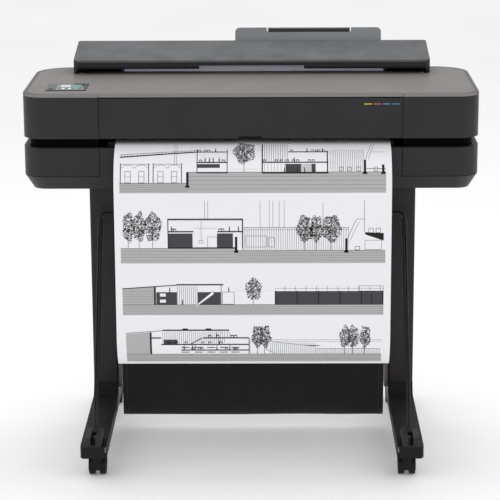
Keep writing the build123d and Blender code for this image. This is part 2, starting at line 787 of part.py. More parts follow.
def cover_side(points_inset):
    """Side outline of the roll cover, shrunk by a wall for its hollow."""
    inset = points_inset
    return [
        (cover_front + inset, body_top + 17.0 - 2 * inset),
        (cover_front + inset, cover_front_top[1] - 4.0 - inset),
        (cover_front_top[0] + 1.0 + inset, cover_front_top[1] - inset),
        (cover_back_top[0] - 4.0 - inset, cover_back_top[1] - inset),
        (cover_back_top[0] - inset, cover_back_top[1] - 4.0 - inset),
        (cover_back_bottom[0] - inset, cover_back_bottom[1] - 2 * inset),
        (body_back + 4.0, cover_back_bottom[1] - 2 * inset),
        (body_back + 4.0, cover_skirt - 2 * inset),
        (cover_front + 9.0, cover_skirt - 2 * inset),
    ]


def trim_corners(inset):
    """Cuts the upright corners of the current part at an angle, as seen from above."""
    x = cover_half - inset
    front = cover_front + inset
    back = cover_back_bottom[0] - inset
    front_cut = cover_front_cut - 0.6 * inset
    back_cut = cover_back_cut - 0.6 * inset
    with BuildSketch(Plane.XY.offset(body_top - cover_half)) as seen_from_above:
        with BuildLine():
            Polyline(
                (front_cut - x, front),
                (x - front_cut, front),
                (x, front + front_cut),
                (x, back - back_cut),
                (x - back_cut, back),
                (back_cut - x, back),
                (-x, back - back_cut),
                (-x, front + front_cut),
                close=True,
            )
        make_face()
    extrude(seen_from_above.sketch, amount=2 * cover_half, mode=Mode.INTERSECT)


with BuildPart() as cover_hollow:
    side_profile(-cover_half + wall, 2 * (cover_half - wall), cover_side(wall))
    trim_corners(wall)
with BuildPart() as roll_cover:
    side_profile(-cover_half, 2 * cover_half, cover_side(0))
    trim_corners(0)
    add(cover_hollow.part, mode=Mode.SUBTRACT)
    # finger recess under the middle of the front edge
    recess_y = (cover_front - 1, cover_front + wall + 1)
    box((-recess_half, recess_half), recess_y, (body_top, body_top + 20.0), Mode.SUBTRACT)
    for side in (-1, 1):
        span = sorted((side * (cover_half + 1), side * (cover_half - wall - 1)))
        round_x(span, cover_hinge_y, cover_hinge_z, 2.0 + running, Mode.SUBTRACT)
roll_cover.part.label = "roll_cover"
export_step(roll_cover.part, "parts/roll_cover.step")

tray_lean = radians(12.0)
tray_foot = (cover_back_bottom[0] + 3.0, cover_back_bottom[1])
tray_span = (-55.0, 325.0)
extension_span = (-41.0, 310.0)
tray_height = 76.0
tray_thickness = 9.0
extension_top = 110.0
extension_thickness = 3.0
tray_plane = Plane(origin=(0, *tray_foot), x_dir=(1, 0, 0), z_dir=(0, -cos(tray_lean), sin(tray_lean)))
tray_mid = (tray_span[0] + tray_span[1]) / 2
pocket_depth = 3.0 + clear
tray_rib_height = 60.0
with BuildPart() as sheet_tray:
    with BuildSketch(tray_plane):
        with Locations((tray_mid, tray_height / 2)):
            RectangleRounded(tray_span[1] - tray_span[0], tray_height, 4.0)
    extrude(amount=-tray_thickness)
    with BuildSketch(tray_plane.offset(-3.0)):
        with Locations(((extension_span[0] + extension_span[1]) / 2, tray_height / 2 + 8.0)):
            Rectangle(extension_span[1] - extension_span[0] + 0.8, tray_height)
    extrude(amount=-pocket_depth, mode=Mode.SUBTRACT)
    # ribs that hold the tray on the cover's back wall
    back_height = cover_back_top[1] - 4.0 - cover_back_bottom[1]
    back_slope = (cover_back_bottom[0] - cover_back_top[0]) / back_height
    for x in (tray_span[0] + 4, tray_span[1] - 8):
        rib_top = cover_back_bottom[1] + tray_rib_height
        rib_top_y = cover_back_bottom[0] - back_slope * tray_rib_height
        tray_top_y = tray_foot[0] + tray_rib_height * sin(tray_lean) / cos(tray_lean)
        outline = [
            (cover_back_bottom[0], cover_back_bottom[1]),
            (tray_foot[0] + 1.0, cover_back_bottom[1]),
            (tray_top_y + 1.0, rib_top),
            (rib_top_y, rib_top),
        ]
        side_profile(x, 4.0, outline)
sheet_tray.part.label = "sheet_tray"
export_step(sheet_tray.part, "parts/sheet_tray.step")

grip_length = 200.0
grip_shift = 2.0
grip_slit = (2.4, 9.0)
grip_depth = 1.6
with BuildPart() as tray_extension:
    extension_mid = (extension_span[0] + extension_span[1]) / 2
    extension_bottom = 9.0
    with BuildSketch(tray_plane.offset(-3.15)):
        with Locations((extension_mid, (extension_bottom + extension_top) / 2)):
            Rectangle(extension_span[1] - extension_span[0], extension_top - extension_bottom)
        for end in (-1, 1):
            slit_x = extension_mid + grip_shift + end * grip_length / 2
            with Locations((slit_x, extension_top - grip_slit[1] / 2)):
                Rectangle(*grip_slit, mode=Mode.SUBTRACT)
    extrude(amount=-extension_thickness)
    # finger grip pressed into the front face between two slits
    with BuildSketch(tray_plane.offset(-3.15)):
        with Locations((extension_mid + grip_shift, extension_top - 6.0)):
            Rectangle(grip_length - 2 * grip_slit[0], 7.0)
    extrude(amount=-grip_depth, mode=Mode.SUBTRACT)
    corners = tray_extension.edges().filter_by(lambda e: abs(e.length - extension_thickness) < 0.01)
    corners = corners.group_by(Axis.Z)[-1].sort_by(Axis.X)
    fillet([corners[0], corners[-1]], 11.0)
tray_extension.part.label = "tray_extension"
export_step(tray_extension.part, "parts/tray_extension.step")

# --- Paper: from the roll, over the platen and down the front ------------------------------
drape_y = sheet_front + sheet_drape
curl = radians(curl_angle)
curl_start = sheet_bottom + curl_radius * sin(curl)
mid_z = paper_z + sheet_thickness / 2
with BuildPart() as printed_sheet:
    with BuildSketch(Plane.YZ.offset(sheet_left)):
        with BuildLine():
            Line((web_y, roll_z), (web_y, mid_z + sheet_turn))
            RadiusArc((web_y, mid_z + sheet_turn), (web_y - sheet_turn, mid_z), sheet_turn)
            Line((web_y - sheet_turn, mid_z), (drape_y, mid_z))
            RadiusArc((drape_y, mid_z), (sheet_front, mid_z - sheet_drape), -sheet_drape)
            Line((sheet_front, mid_z - sheet_drape), (sheet_front, curl_start))
            curl_end = (sheet_front + curl_radius * (1 - cos(curl)), sheet_bottom)
            RadiusArc((sheet_front, curl_start), curl_end, -curl_radius)
        trace(line_width=sheet_thickness)
    extrude(amount=sheet_width)
printed_sheet.part.label = "printed_sheet"
export_step(printed_sheet.part, "parts/printed_sheet.step")

# --- Inner frame, platen and drives -------------------------------------------------------
pinch_shaft = 3.0
pinch_pitch = (sheet_width - 85.0) / 5
idler_shelf = (rod_y - 10.0, rod_y + 10.0)
belt_z = rod_z + 45.0
frame_top = body_top - wall
with BuildPart() as side_frames:
    for side in (-1, 1):
        span = sorted((side * frame_x, side * (frame_x + frame_thickness)))
        box(span, (-150.0, roll_cut_front), (underside + wall, frame_top))
        wide = (span[0] - 1, span[1] + 1)
        round_x(wide, feed_y, feed_z, shaft_radius + running, Mode.SUBTRACT)
        round_x(wide, feed_y, pinch_z, pinch_shaft + running, Mode.SUBTRACT)
    shelf_z = belt_z - belt_width / 2 - 5.0
    box((pulley_x - 12.0, frame_x), idler_shelf, (shelf_z - 3.0, shelf_z))
    with BuildSketch(Plane.XY.offset(shelf_z)):
        with Locations((pulley_x, rod_y)):
            Circle(2.0)
    extrude(amount=belt_width + 8.0)
side_frames.part.label = "side_frames"
export_step(side_frames.part, "parts/side_frames.step")

platen_half = sheet_width / 2 + 13.0
platen_top = paper_z - 1.0
with BuildPart() as platen:
    platen_y = (body_front + 30.0, feed_y - feed_radius - 8.0)
    box((-platen_half, platen_half), platen_y, (platen_top - 14.0, platen_top))
    with BuildSketch(Plane.XY.offset(platen_top)):
        with GridLocations(24.0, 10.0, 24, 1):
            with Locations((0, rod_y - 50.0)):
                SlotOverall(60.0, 8.0, rotation=90)
    extrude(amount=-6.0, mode=Mode.SUBTRACT)
    tongue = (-40.0, -12.0)
    box((-frame_x, frame_x), tongue, (platen_top - 14.0, platen_top - 4.0))
platen.part.label = "platen"
export_step(platen.part, "parts/platen.step")

with BuildPart() as pinch_rollers:
    round_x((-frame_x - 4, frame_x + 4), feed_y, pinch_z, pinch_shaft)
    for i in range(6):
        middle = (i - 2.5) * pinch_pitch
        round_x((middle - 16, middle + 16), feed_y, pinch_z, pinch_radius)
pinch_rollers.part.label = "pinch_rollers"
export_step(pinch_rollers.part, "parts/pinch_rollers.step")


def spur_gear(x_start, y, z, teeth, turn):
    """Straight-toothed gear along X, with flanks eased for backlash."""
    pitch = gear_module * teeth / 2
    root = pitch - 1.25 * gear_module
    tip = pitch + 0.9 * gear_module
    round_x((x_start, x_start + gear_width), y, z, root)
    with BuildSketch(Plane.YZ.offset(x_start)) as toothing:
        with Locations((y, z)):
            with PolarLocations((root + tip) / 2, teeth, start_angle=turn):
                Trapezoid(1.9 * gear_module, tip - root + 0.6, 72, rotation=-90)
    extrude(toothing.sketch, amount=gear_width)


gear_x = -frame_x + 14.0
pinion_y = feed_y + gear_module * (gear_teeth + pinion_teeth) / 2
# roller on its shaft, with the gear pressed on the left end as a second solid
with BuildPart() as feed_roller:
    spur_gear(gear_x, feed_y, feed_z, gear_teeth, 0)
    round_x((gear_x - 1, gear_x + gear_width + 1), feed_y, feed_z, shaft_radius + 0.02, Mode.SUBTRACT)
    round_x((-sheet_width / 2 - 9, sheet_width / 2 + 9), feed_y, feed_z, feed_radius)
    round_x((-frame_x - 6, frame_x + 6), feed_y, feed_z, shaft_radius)
feed_roller.part.label = "feed_roller"
export_step(feed_roller.part, "parts/feed_roller.step")

motor_radius = 15.0
motor_shaft = 2.5
feed_motor_x = gear_x + gear_width + 3.0
with BuildPart() as feed_pinion:
    spur_gear(gear_x, pinion_y, feed_z, pinion_teeth, 180.0 / pinion_teeth)
    round_x((gear_x, feed_motor_x + 14), pinion_y, feed_z, motor_shaft)
feed_pinion.part.label = "feed_pinion"
export_step(feed_pinion.part, "parts/feed_pinion.step")

carriage_motor_z = belt_z + belt_width / 2 + 3.5
with BuildPart() as drive_motors:
    round_x((feed_motor_x, feed_motor_x + 30), pinion_y, feed_z, motor_radius)
    box(
        (feed_motor_x + 4, feed_motor_x + 22),
        (pinion_y - 10, pinion_y + 10),
        (underside + wall, feed_z - 10),
    )
    round_x((feed_motor_x - 1, feed_motor_x + 15), pinion_y, feed_z, motor_shaft + running, Mode.SUBTRACT)
    with BuildSketch(Plane.XY.offset(carriage_motor_z)):
        with Locations((-pulley_x, rod_y)):
            Circle(motor_radius)
            Circle(motor_shaft + running, mode=Mode.SUBTRACT)
    extrude(amount=frame_top - carriage_motor_z)
drive_motors.part.label = "drive_motors"
export_step(drive_motors.part, "parts/drive_motors.step")

with BuildPart() as drive_pulley:
    with BuildSketch(Plane.XY.offset(belt_z - belt_width / 2 - 1)):
        with Locations((-pulley_x, rod_y)):
            Circle(pulley_radius)
    extrude(amount=belt_width + 2)
    with BuildSketch(Plane.XY.offset(belt_z - belt_width / 2 - 1)):
        with Locations((-pulley_x, rod_y)):
            Circle(motor_shaft)
    extrude(amount=carriage_motor_z + 10 - belt_z + belt_width / 2)
drive_pulley.part.label = "drive_pulley"
export_step(drive_pulley.part, "parts/drive_pulley.step")

with BuildPart() as idler_pulley:
    with BuildSketch(Plane.XY.offset(belt_z - belt_width / 2 - 1)):
        with Locations((pulley_x, rod_y)):
            Circle(pulley_radius)
            Circle(2.0 + running, mode=Mode.SUBTRACT)
    extrude(amount=belt_width + 2)
idler_pulley.part.label = "idler_pulley"
export_step(idler_pulley.part, "parts/idler_pulley.step")

belt_inner = pulley_radius + clear
with BuildPart() as drive_belt:
    with BuildSketch(Plane.XY.offset(belt_z - belt_width / 2)):
        with Locations((0, rod_y)):
            SlotCenterToCenter(2 * pulley_x, 2 * (belt_inner + belt_thickness))
            SlotCenterToCenter(2 * pulley_x, 2 * belt_inner, mode=Mode.SUBTRACT)
    extrude(amount=belt_width)
drive_belt.part.label = "drive_belt"
export_step(drive_belt.part, "parts/drive_belt.step")

with BuildPart() as guide_rod:
    round_x((-frame_x, frame_x), rod_y, rod_z, rod_radius)
guide_rod.part.label = "guide_rod"
export_step(guide_rod.part, "parts/guide_rod.step")

carriage_x = (carriage_park - carriage_width / 2, carriage_park + carriage_width / 2)
carriage_y = (rod_y - 90.0, rod_y + 13.0)
carriage_bottom = paper_z + 7.0
carriage_top = rod_z + 32.0
head_half = 30.0
head_y = (rod_y - 75.0, rod_y - 25.0)
with BuildPart() as carriage:
    box(carriage_x, carriage_y, (carriage_bottom, carriage_top))
    fillet(carriage.edges().filter_by(Axis.X).group_by(Axis.Z)[-1].sort_by(Axis.Y)[0], 12.0)
    box(
        (carriage_park - head_half, carriage_park + head_half),
        head_y,
        (carriage_bottom - 1, carriage_bottom + 12.0),
        mode=Mode.SUBTRACT,
    )
    round_x((carriage_x[0] - 1, carriage_x[1] + 1), rod_y, rod_z, rod_radius + running, Mode.SUBTRACT)
    # clamp that holds the front run of the belt
    run_y = rod_y - belt_inner - belt_thickness
    box((carriage_park - 12, carriage_park + 12), (run_y - 5, run_y + 6), (carriage_top - 1, belt_z + 4))
    box(
        (carriage_park - 13, carriage_park + 13),
        (run_y - clear, run_y + belt_thickness + clear),
        (belt_z - belt_width / 2 - clear, belt_z + 5),
        mode=Mode.SUBTRACT,
    )
carriage.part.label = "carriage"
export_step(carriage.part, "parts/carriage.step")

with BuildPart() as printhead:
    box(
        (carriage_park - head_half, carriage_park + head_half),
        head_y,
        (carriage_bottom - 3.0, carriage_bottom + 12.0),
    )
printhead.part.label = "printhead"
export_step(printhead.part, "parts/printhead.step")

# --- Ink, service station and electronics -------------------------------------------------
bay_front = body_front + 40.0
bay_back = bay_front + 110.0
bay_x = window_half + seam + 64.0
bay_half = 2 * cartridge_pitch + 2.0
cartridge_z = underside + 18.5
bay_top = lower_top - 14.0
with BuildPart() as ink_bay:
    box((bay_x - bay_half, bay_x + bay_half), (bay_front, bay_back), (underside + wall, bay_top))
    for i in range(4):
        x = bay_x + (i - 1.5) * cartridge_pitch
        box(
            (x - cartridge_width / 2 - 0.5, x + cartridge_width / 2 + 0.5),
            (bay_front - 1, bay_back - 4.0),
            (cartridge_z - 0.5, bay_top - 3.0),
            mode=Mode.SUBTRACT,
        )
ink_bay.part.label = "ink_bay"
export_step(ink_bay.part, "parts/ink_bay.step")

for i, ink in enumerate(("yellow", "magenta", "cyan", "black")):
    x = bay_x + (i - 1.5) * cartridge_pitch
    with BuildPart() as cartridge:
        box(
            (x - cartridge_width / 2, x + cartridge_width / 2),
            (bay_front - 4.0, bay_back - 6.0),
            (cartridge_z, bay_top - 4.0),
        )
        fillet(cartridge.edges().filter_by(Axis.Z), 2.0)
        box((x - 7, x + 7), (bay_front - 5.0, bay_front), (bay_top - 20.0, bay_top - 12.0), Mode.SUBTRACT)
    cartridge.part.label = f"ink_cartridge_{ink}"
    export_step(cartridge.part, f"parts/ink_cartridge_{ink}.step")

with BuildPart() as service_station:
    box((bay_x - 50, bay_x + 50), (bay_front + 25, bay_back), (bay_top, carriage_bottom - 4.0))
    for i in range(2):
        x = bay_x - 20 + 40 * i
        cap_well = (carriage_bottom - 10.0, carriage_bottom)
        box((x - 14, x + 14), (bay_front + 40, bay_back - 20), cap_well, Mode.SUBTRACT)
service_station.part.label = "service_station"
export_step(service_station.part, "parts/service_station.step")

board_z = underside + wall + 8.0
with BuildPart() as electronics:
    box((-frame_x + 12, -frame_x + 118), (-150.0, -25.0), (board_z, board_z + 1.6))
    with BuildSketch(Plane.XY.offset(underside + wall)):
        with Locations((-frame_x + 65, -87.5)):
            with GridLocations(96.0, 115.0, 2, 2):
                Circle(3.0)
    extrude(amount=8.0)
    for i in range(3):
        box((-frame_x + 22 + 32 * i, -frame_x + 44 + 32 * i), (-120.0, -98.0), (board_z + 1, board_z + 5))
    box((inlet_x - 60, inlet_x + 60), (50.0, body_back - 20.0), (underside + wall, underside + wall + 50))
electronics.part.label = "electronics"
export_step(electronics.part, "parts/electronics.step")
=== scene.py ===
# %% [markdown]
# # A large format plotter on its stand
#
# A wide inkjet plotter takes paper from a roll at its back, draws it over a platen and lets it out
# at the front, where it hangs down in front of the stand. The frame is the CAD model: casing, legs,
# bin rods, castors, rollers. This script gives every part its finish and adds the pieces that are
# soft or thin: the cloth of the bin, the ink on the sheet, the marks on the window and the picture
# on the little screen.

import math
import random

import bpy
from mathutils import Euler, Matrix, Vector


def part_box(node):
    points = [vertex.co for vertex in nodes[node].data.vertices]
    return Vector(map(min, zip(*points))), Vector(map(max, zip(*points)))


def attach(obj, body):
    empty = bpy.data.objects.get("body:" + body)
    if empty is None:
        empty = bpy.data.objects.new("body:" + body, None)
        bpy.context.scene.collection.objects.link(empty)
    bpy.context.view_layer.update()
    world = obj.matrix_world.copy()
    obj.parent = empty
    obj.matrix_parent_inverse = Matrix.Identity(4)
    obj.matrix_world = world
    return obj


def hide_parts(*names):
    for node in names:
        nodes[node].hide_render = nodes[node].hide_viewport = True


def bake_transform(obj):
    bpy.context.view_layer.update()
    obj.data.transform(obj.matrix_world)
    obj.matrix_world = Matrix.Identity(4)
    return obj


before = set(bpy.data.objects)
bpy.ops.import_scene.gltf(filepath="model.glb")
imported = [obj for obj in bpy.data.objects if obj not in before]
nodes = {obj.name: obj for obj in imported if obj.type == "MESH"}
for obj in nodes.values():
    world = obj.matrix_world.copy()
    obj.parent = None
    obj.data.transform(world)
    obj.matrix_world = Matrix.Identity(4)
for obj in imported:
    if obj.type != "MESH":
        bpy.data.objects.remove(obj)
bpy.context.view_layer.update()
scene = bpy.context.scene

# %% [markdown]
# ## Tools
#
# All sizes below are in millimetres, as on a workshop drawing, and are turned to metres here.
# Colours are written as they look on a screen and turned to linear light once.

# %% Small tools
MM = 0.001


def linear(colour):
    """A hex colour as seen on a screen, in linear light."""
    parts = [int(colour[i : i + 2], 16) / 255 for i in (1, 3, 5)]
    return [*(c / 12.92 if c <= 0.04045 else ((c + 0.055) / 1.055) ** 2.4 for c in parts), 1.0]


def add_node(tree, kind, settings=None, **inputs):
    """A shader or geometry node, its settings, and its inputs as values or as links."""
    node = tree.nodes.new(kind)
    for name, value in (settings or {}).items():
        setattr(node, name, value)
    for name, value in inputs.items():
        key = int(name[1:]) if name[0] == "i" and name[1:].isdigit() else name.replace("_", " ")
        socket = node.inputs[key]
        if isinstance(value, bpy.types.NodeSocket):
            tree.links.new(value, socket)
        else:
            socket.default_value = value
    return node


def per_metre(size_mm, features=1.0):
    """The texture scale that makes a pattern repeat at this size."""
    return features / (size_mm * MM)


def new_finish(name):
    """A material with its surface shader, and the place in the row frame that its patterns use."""
    material = bpy.data.materials.new(name)
    material.use_nodes = True
    tree = material.node_tree
    tree.nodes.clear()
    surface = add_node(tree, "ShaderNodeBsdfPrincipled")
    output = add_node(tree, "ShaderNodeOutputMaterial")
    tree.links.new(surface.outputs[0], output.inputs["Surface"])
    place = add_node(tree, "ShaderNodeTexCoord").outputs["Object"]
    return material, tree, surface, place


def noise(tree, place, size_mm, detail=2.0, roughness=0.5):
    """Cloudy noise with lumps of about this size."""
    found = add_node(
        tree, "ShaderNodeTexNoise", Vector=place, Scale=per_metre(size_mm), Detail=detail, Roughness=roughness
    )
    return found.outputs["Fac"]


def bands(tree, place, pitch_mm, settings, **inputs):
    """Even bands or rings, one every pitch."""
    scale = per_metre(pitch_mm) / 20 * math.pi
    return add_node(tree, "ShaderNodeTexWave", settings, Vector=place, Scale=scale, **inputs).outputs["Fac"]


def between(tree, value, low, high, from_low=0.3, from_high=0.7):
    """A texture's value spread over the range low to high."""
    limits = {"From_Min": from_low, "From_Max": from_high, "To_Min": low, "To_Max": high}
    return add_node(tree, "ShaderNodeMapRange", Value=value, **limits).outputs["Result"]


def maths(tree, operation, *values, kind="ShaderNodeMath", result=0):
    """One sum, with its values in order."""
    inputs = {f"i{i}": value for i, value in enumerate(values)}
    return add_node(tree, kind, {"operation": operation}, **inputs).outputs[result]


def vector_maths(tree, operation, *values, result=0):
    return maths(tree, operation, *values, kind="ShaderNodeVectorMath", result=result)


def times(tree, first, second):
    return maths(tree, "MULTIPLY", first, second)


def part_of(tree, vector, axis):
    """One axis of a vector."""
    return add_node(tree, "ShaderNodeSeparateXYZ", Vector=vector).outputs[axis]


def facing(tree, axis):
    """How far a face looks along an axis, from -1 to 1."""
    return part_of(tree, add_node(tree, "ShaderNodeNewGeometry").outputs["Normal"], axis)


def shade(base, gain, lift=0.0):
    """The colour made lighter or darker."""
    return [*(min(1.0, c * gain + lift) for c in base[:3]), 1.0]


def mixed(tree, amount, first, second):
    """Two colours mixed by a texture."""
    mix = add_node(tree, "ShaderNodeMix", {"data_type": "RGBA"}, i0=amount, i6=first, i7=second)
    return mix.outputs[2]


def relief(tree, height, depth_mm, under=None):
    """A bump of this depth, laid over another where there is one."""
    bump = add_node(tree, "ShaderNodeBump", Strength=1.0, Distance=depth_mm * MM, Height=height)
    if under is not None:
        tree.links.new(under, bump.inputs["Normal"])
    return bump.outputs["Normal"]


DUST = "#8f8c88"


def with_dust_and_painted_top_light(tree, place, colour, dust_and_painted_top_light, amount):
    """Pale patches on what faces up: a fine dusting, and where the amount is large, painted light that makes
    the top faces lighter.
    """
    upward = between(tree, facing(tree, "Z"), 0.0, amount, 0.4, 1.0)
    patches = between(tree, noise(tree, place, 60, 4.0), 0.5, 1.0)
    return mixed(tree, times(tree, upward, patches), colour, linear(dust_and_painted_top_light))


def opened(material):
    """The tree, the surface shader and the place of a finish that is already made."""
    tree = material.node_tree
    surface = next(n for n in tree.nodes if n.type == "BSDF_PRINCIPLED")
    place = next(n for n in tree.nodes if n.type == "TEX_COORD").outputs["Object"]
    return tree, surface, place


def marked(material, mask, colour, matt=False):
    """Gives part of a finish another colour. mask makes the texture that says where."""
    tree, surface, place = opened(material)
    under = surface.inputs["Base Color"].links[0].from_socket
    where = mask(tree, place)
    tree.links.new(mixed(tree, where, under, linear(colour)), surface.inputs["Base Color"])
    if matt:
        gloss = surface.inputs["Specular IOR Level"].default_value
        tree.links.new(between(tree, where, gloss, 0.02, 0.0, 1.0), surface.inputs["Specular IOR Level"])
    return material


def above(height_mm):
    """A mask of what is higher than this."""

    def mask(tree, place):
        return between(tree, part_of(tree, place, "Z"), 0.0, 1.0, height_mm * MM, (height_mm + 0.2) * MM)

    return mask


def new_piece(name, points, edges, faces, materials=()):
    """An object made of these points, in metres of the row frame."""
    made = bpy.data.meshes.new(name)
    made.from_pydata(points, edges, faces)
    for material in materials:
        made.materials.append(material)
    piece = bpy.data.objects.new(name, made)
    scene.collection.objects.link(piece)
    return piece


print("tools ready")

# %% [markdown]
# ## Moulded plastic
#
# The casings are injection moulded ABS. The mould is spark eroded, so the plastic comes out with a
# fine, even grain that spreads highlights. Hands and cloths polish it a little in patches, and
# very fine dust settles on what faces up. On the roll cover a large amount of the same pale grey is
# painted light, which makes its top lighter than its front. The grain is noise as small as the real
# one, about half a millimetre; a slower noise moves the shine.


# %% Moulded plastic
def moulded_plastic(
    name, colour, shine, grain_mm=0.5, grain_depth_mm=0.03, dust_and_painted_top_light=0.03, gloss=0.3, dust_and_painted_top_light_colour=DUST
):
    """Grained ABS or nylon. shine is the roughness of the surface, and gloss how much it mirrors."""
    material, tree, surface, place = new_finish(name)
    base = linear(colour)
    clouds = between(tree, noise(tree, place, 140, 3.0), 0.0, 1.0)
    tone = mixed(tree, clouds, base, shade(base, 1.12, 0.002))
    tree.links.new(with_dust_and_painted_top_light(tree, place, tone, dust_and_painted_top_light_colour, dust_and_painted_top_light), surface.inputs["Base Color"])
    rub = noise(tree, place, 35, 5.0, 0.6)
    tree.links.new(between(tree, rub, shine - 0.05, shine + 0.06), surface.inputs["Roughness"])
    grain = relief(tree, noise(tree, place, grain_mm, 2.0), grain_depth_mm)
    waves = relief(tree, noise(tree, place, 90, 1.0), 0.06, grain)
    tree.links.new(waves, surface.inputs["Normal"])
    surface.inputs["IOR"].default_value = 1.49
    surface.inputs["Specular IOR Level"].default_value = gloss
    return material


def dotted_plastic(name, colour, shine, pitch_mm, depth_mm):
    """The lower panel: its mould was etched with rows of tiny dots that run on the diagonal."""
    material = moulded_plastic(name, colour, shine)
    tree, surface, place = opened(material)
    rows = []
    for turn in (45, -45):
        rotation = (0.0, math.radians(turn), 0.0)
        turned = add_node(tree, "ShaderNodeMapping", Vector=place, Rotation=rotation).outputs[0]
        rows.append(bands(tree, turned, pitch_mm, {"bands_direction": "X"}))
    dots = times(tree, *rows)
    under = surface.inputs["Normal"].links[0].from_socket
    tree.links.new(relief(tree, dots, depth_mm, under), surface.inputs["Normal"])
    base = surface.inputs["Base Color"].links[0].from_socket
    # Painted shade: the dots are darkened, as shade in the pits of the etched texture.
    pit_shade = between(tree, dots, 0.0, 0.22, 0.45, 0.9)
    tree.links.new(mixed(tree, pit_shade, base, linear("#0c0c0d")), surface.inputs["Base Color"])
    return material


print("plastic recipes ready")

# %% [markdown]
# ## Metal
#
# The stand is bent steel tube and sheet with a powder coat, which flows as it is baked and leaves a
# faint orange peel. Rods and rollers are bright steel, ground along their length, so the
# scratches run across the machine. Screws are zinc plated.


# %% Metal
def powder_coat(name, colour, shine, peel_mm=1.6, dust_and_painted_top_light=0.05, gloss=0.32):
    material, tree, surface, place = new_finish(name)
    base = linear(colour)
    scuffs = between(tree, noise(tree, place, 22, 8.0, 0.7), 0.0, 1.0, 0.62, 0.8)
    tone = mixed(tree, scuffs, base, shade(base, 1.35, 0.004))
    tree.links.new(with_dust_and_painted_top_light(tree, place, tone, DUST, dust_and_painted_top_light), surface.inputs["Base Color"])
    rub = noise(tree, place, 30, 4.0)
    tree.links.new(between(tree, rub, shine - 0.06, shine + 0.08), surface.inputs["Roughness"])
    surface.inputs["Specular IOR Level"].default_value = gloss
    peel = relief(tree, noise(tree, place, peel_mm, 1.0), 0.025)
    tree.links.new(peel, surface.inputs["Normal"])
    return material


def ground_steel(name, colour, shine, scratch_mm=0.25, stretch=40.0):
    """Bright steel, with fine scratches that run along X."""
    material, tree, surface, place = new_finish(name)
    along = add_node(tree, "ShaderNodeMapping", Vector=place, Scale=(1 / stretch, 1.0, 1.0)).outputs[0]
    scratches = noise(tree, along, scratch_mm, 3.0, 0.7)
    base = linear(colour)
    tone = mixed(tree, between(tree, scratches, 0, 1), shade(base, 0.78), base)
    tree.links.new(tone, surface.inputs["Base Color"])
    tree.links.new(between(tree, scratches, shine - 0.06, shine + 0.12), surface.inputs["Roughness"])
    tree.links.new(relief(tree, scratches, 0.01), surface.inputs["Normal"])
    surface.inputs["Metallic"].default_value = 1.0
    return material


print("metal recipes ready")

# %% [markdown]
# ## Paper, cloth, rubber and glass
#
# The paper is bright coated bond: almost flat white, with a very faint cloud of fibre. The end of
# the roll shows its turns as fine rings around the spindle. The bin is a plain polyester weave.
# The screen is a dark cover glass over a display.


# %% Paper, cloth, rubber and glass
def bond_paper(name, colour, ring_centre=None):
    material, tree, surface, place = new_finish(name)
    base = linear(colour)
    fibre = noise(tree, place, 1.2, 6.0, 0.7)
    tone = mixed(tree, between(tree, fibre, 0.0, 1.0), shade(base, 0.94), base)
    height = fibre
    if ring_centre:
        y, z = ring_centre
        moved = vector_maths(tree, "SUBTRACT", place, (0.0, y * MM, z * MM))
        rings = {"wave_type": "RINGS", "rings_direction": "X"}
        turns = bands(tree, moved, 1.4, rings, Distortion=1.5)
        amount = times(tree, turns, maths(tree, "ABSOLUTE", facing(tree, "X")))
        tone = mixed(tree, between(tree, amount, 0.0, 0.35, 0.0, 1.0), tone, linear("#9a938a"))
        height = amount
    tree.links.new(tone, surface.inputs["Base Color"])
    tree.links.new(between(tree, fibre, 0.62, 0.74), surface.inputs["Roughness"])
    slow = relief(tree, noise(tree, place, 120, 1.0), 0.25)
    tree.links.new(relief(tree, height, 0.02, slow), surface.inputs["Normal"])
    surface.inputs["Specular IOR Level"].default_value = 0.3
    return material


def woven_polyester(name, colour, thread_mm=0.7):
    """Plain weave: threads across and threads down, laid out by the cloth's own flat size."""
    material, tree, surface = new_finish(name)[:3]
    flat = add_node(tree, "ShaderNodeUVMap", {"uv_map": "flat_cloth"}).outputs[0]
    threads = [bands(tree, flat, thread_mm, {"bands_direction": direction}) for direction in ("X", "Y")]
    weave = times(tree, *threads)
    base = linear(colour)
    slubs = between(tree, noise(tree, flat, 9, 5.0, 0.7), 0.0, 0.6)
    tone = mixed(tree, between(tree, weave, 0.0, 0.6, 0.0, 1.0), base, shade(base, 1.6, 0.002))
    tone = mixed(tree, slubs, tone, base)
    tree.links.new(tone, surface.inputs["Base Color"])
    tree.links.new(between(tree, slubs, 0.8, 0.95, 0.0, 0.6), surface.inputs["Roughness"])
    folds = relief(tree, noise(tree, flat, 60, 2.0), 0.8)
    tree.links.new(relief(tree, weave, 0.18, folds), surface.inputs["Normal"])
    surface.inputs["Specular IOR Level"].default_value = 0.3
    surface.inputs["Sheen Weight"].default_value = 0.15
    surface.inputs["Sheen Roughness"].default_value = 0.5
    return material


def moulded_rubber(name, colour):
    material, tree, surface, place = new_finish(name)
    base = linear(colour)
    bloom = between(tree, noise(tree, place, 12, 5.0), 0.0, 1.0, 0.45, 0.75)
    tone = mixed(tree, bloom, base, shade(base, 1.6, 0.004))
    tree.links.new(tone, surface.inputs["Base Color"])
    tree.links.new(between(tree, noise(tree, place, 6, 3.0), 0.62, 0.8), surface.inputs["Roughness"])
    tree.links.new(relief(tree, noise(tree, place, 0.6, 2.0), 0.05), surface.inputs["Normal"])
    return material


def cover_glass(name, colour):
    material, tree, surface, place = new_finish(name)
    smears = noise(tree, place, 9, 4.0, 0.6)
    tone = mixed(tree, between(tree, smears, 0.0, 0.25), linear(colour), linear("#2c3036"))
    tree.links.new(tone, surface.inputs["Base Color"])
    tree.links.new(between(tree, smears, 0.06, 0.16), surface.inputs["Roughness"])
    tree.links.new(relief(tree, smears, 0.004), surface.inputs["Normal"])
    surface.inputs["Coat Weight"].default_value = 0.6
    surface.inputs["Coat Roughness"].default_value = 0.05
    return material


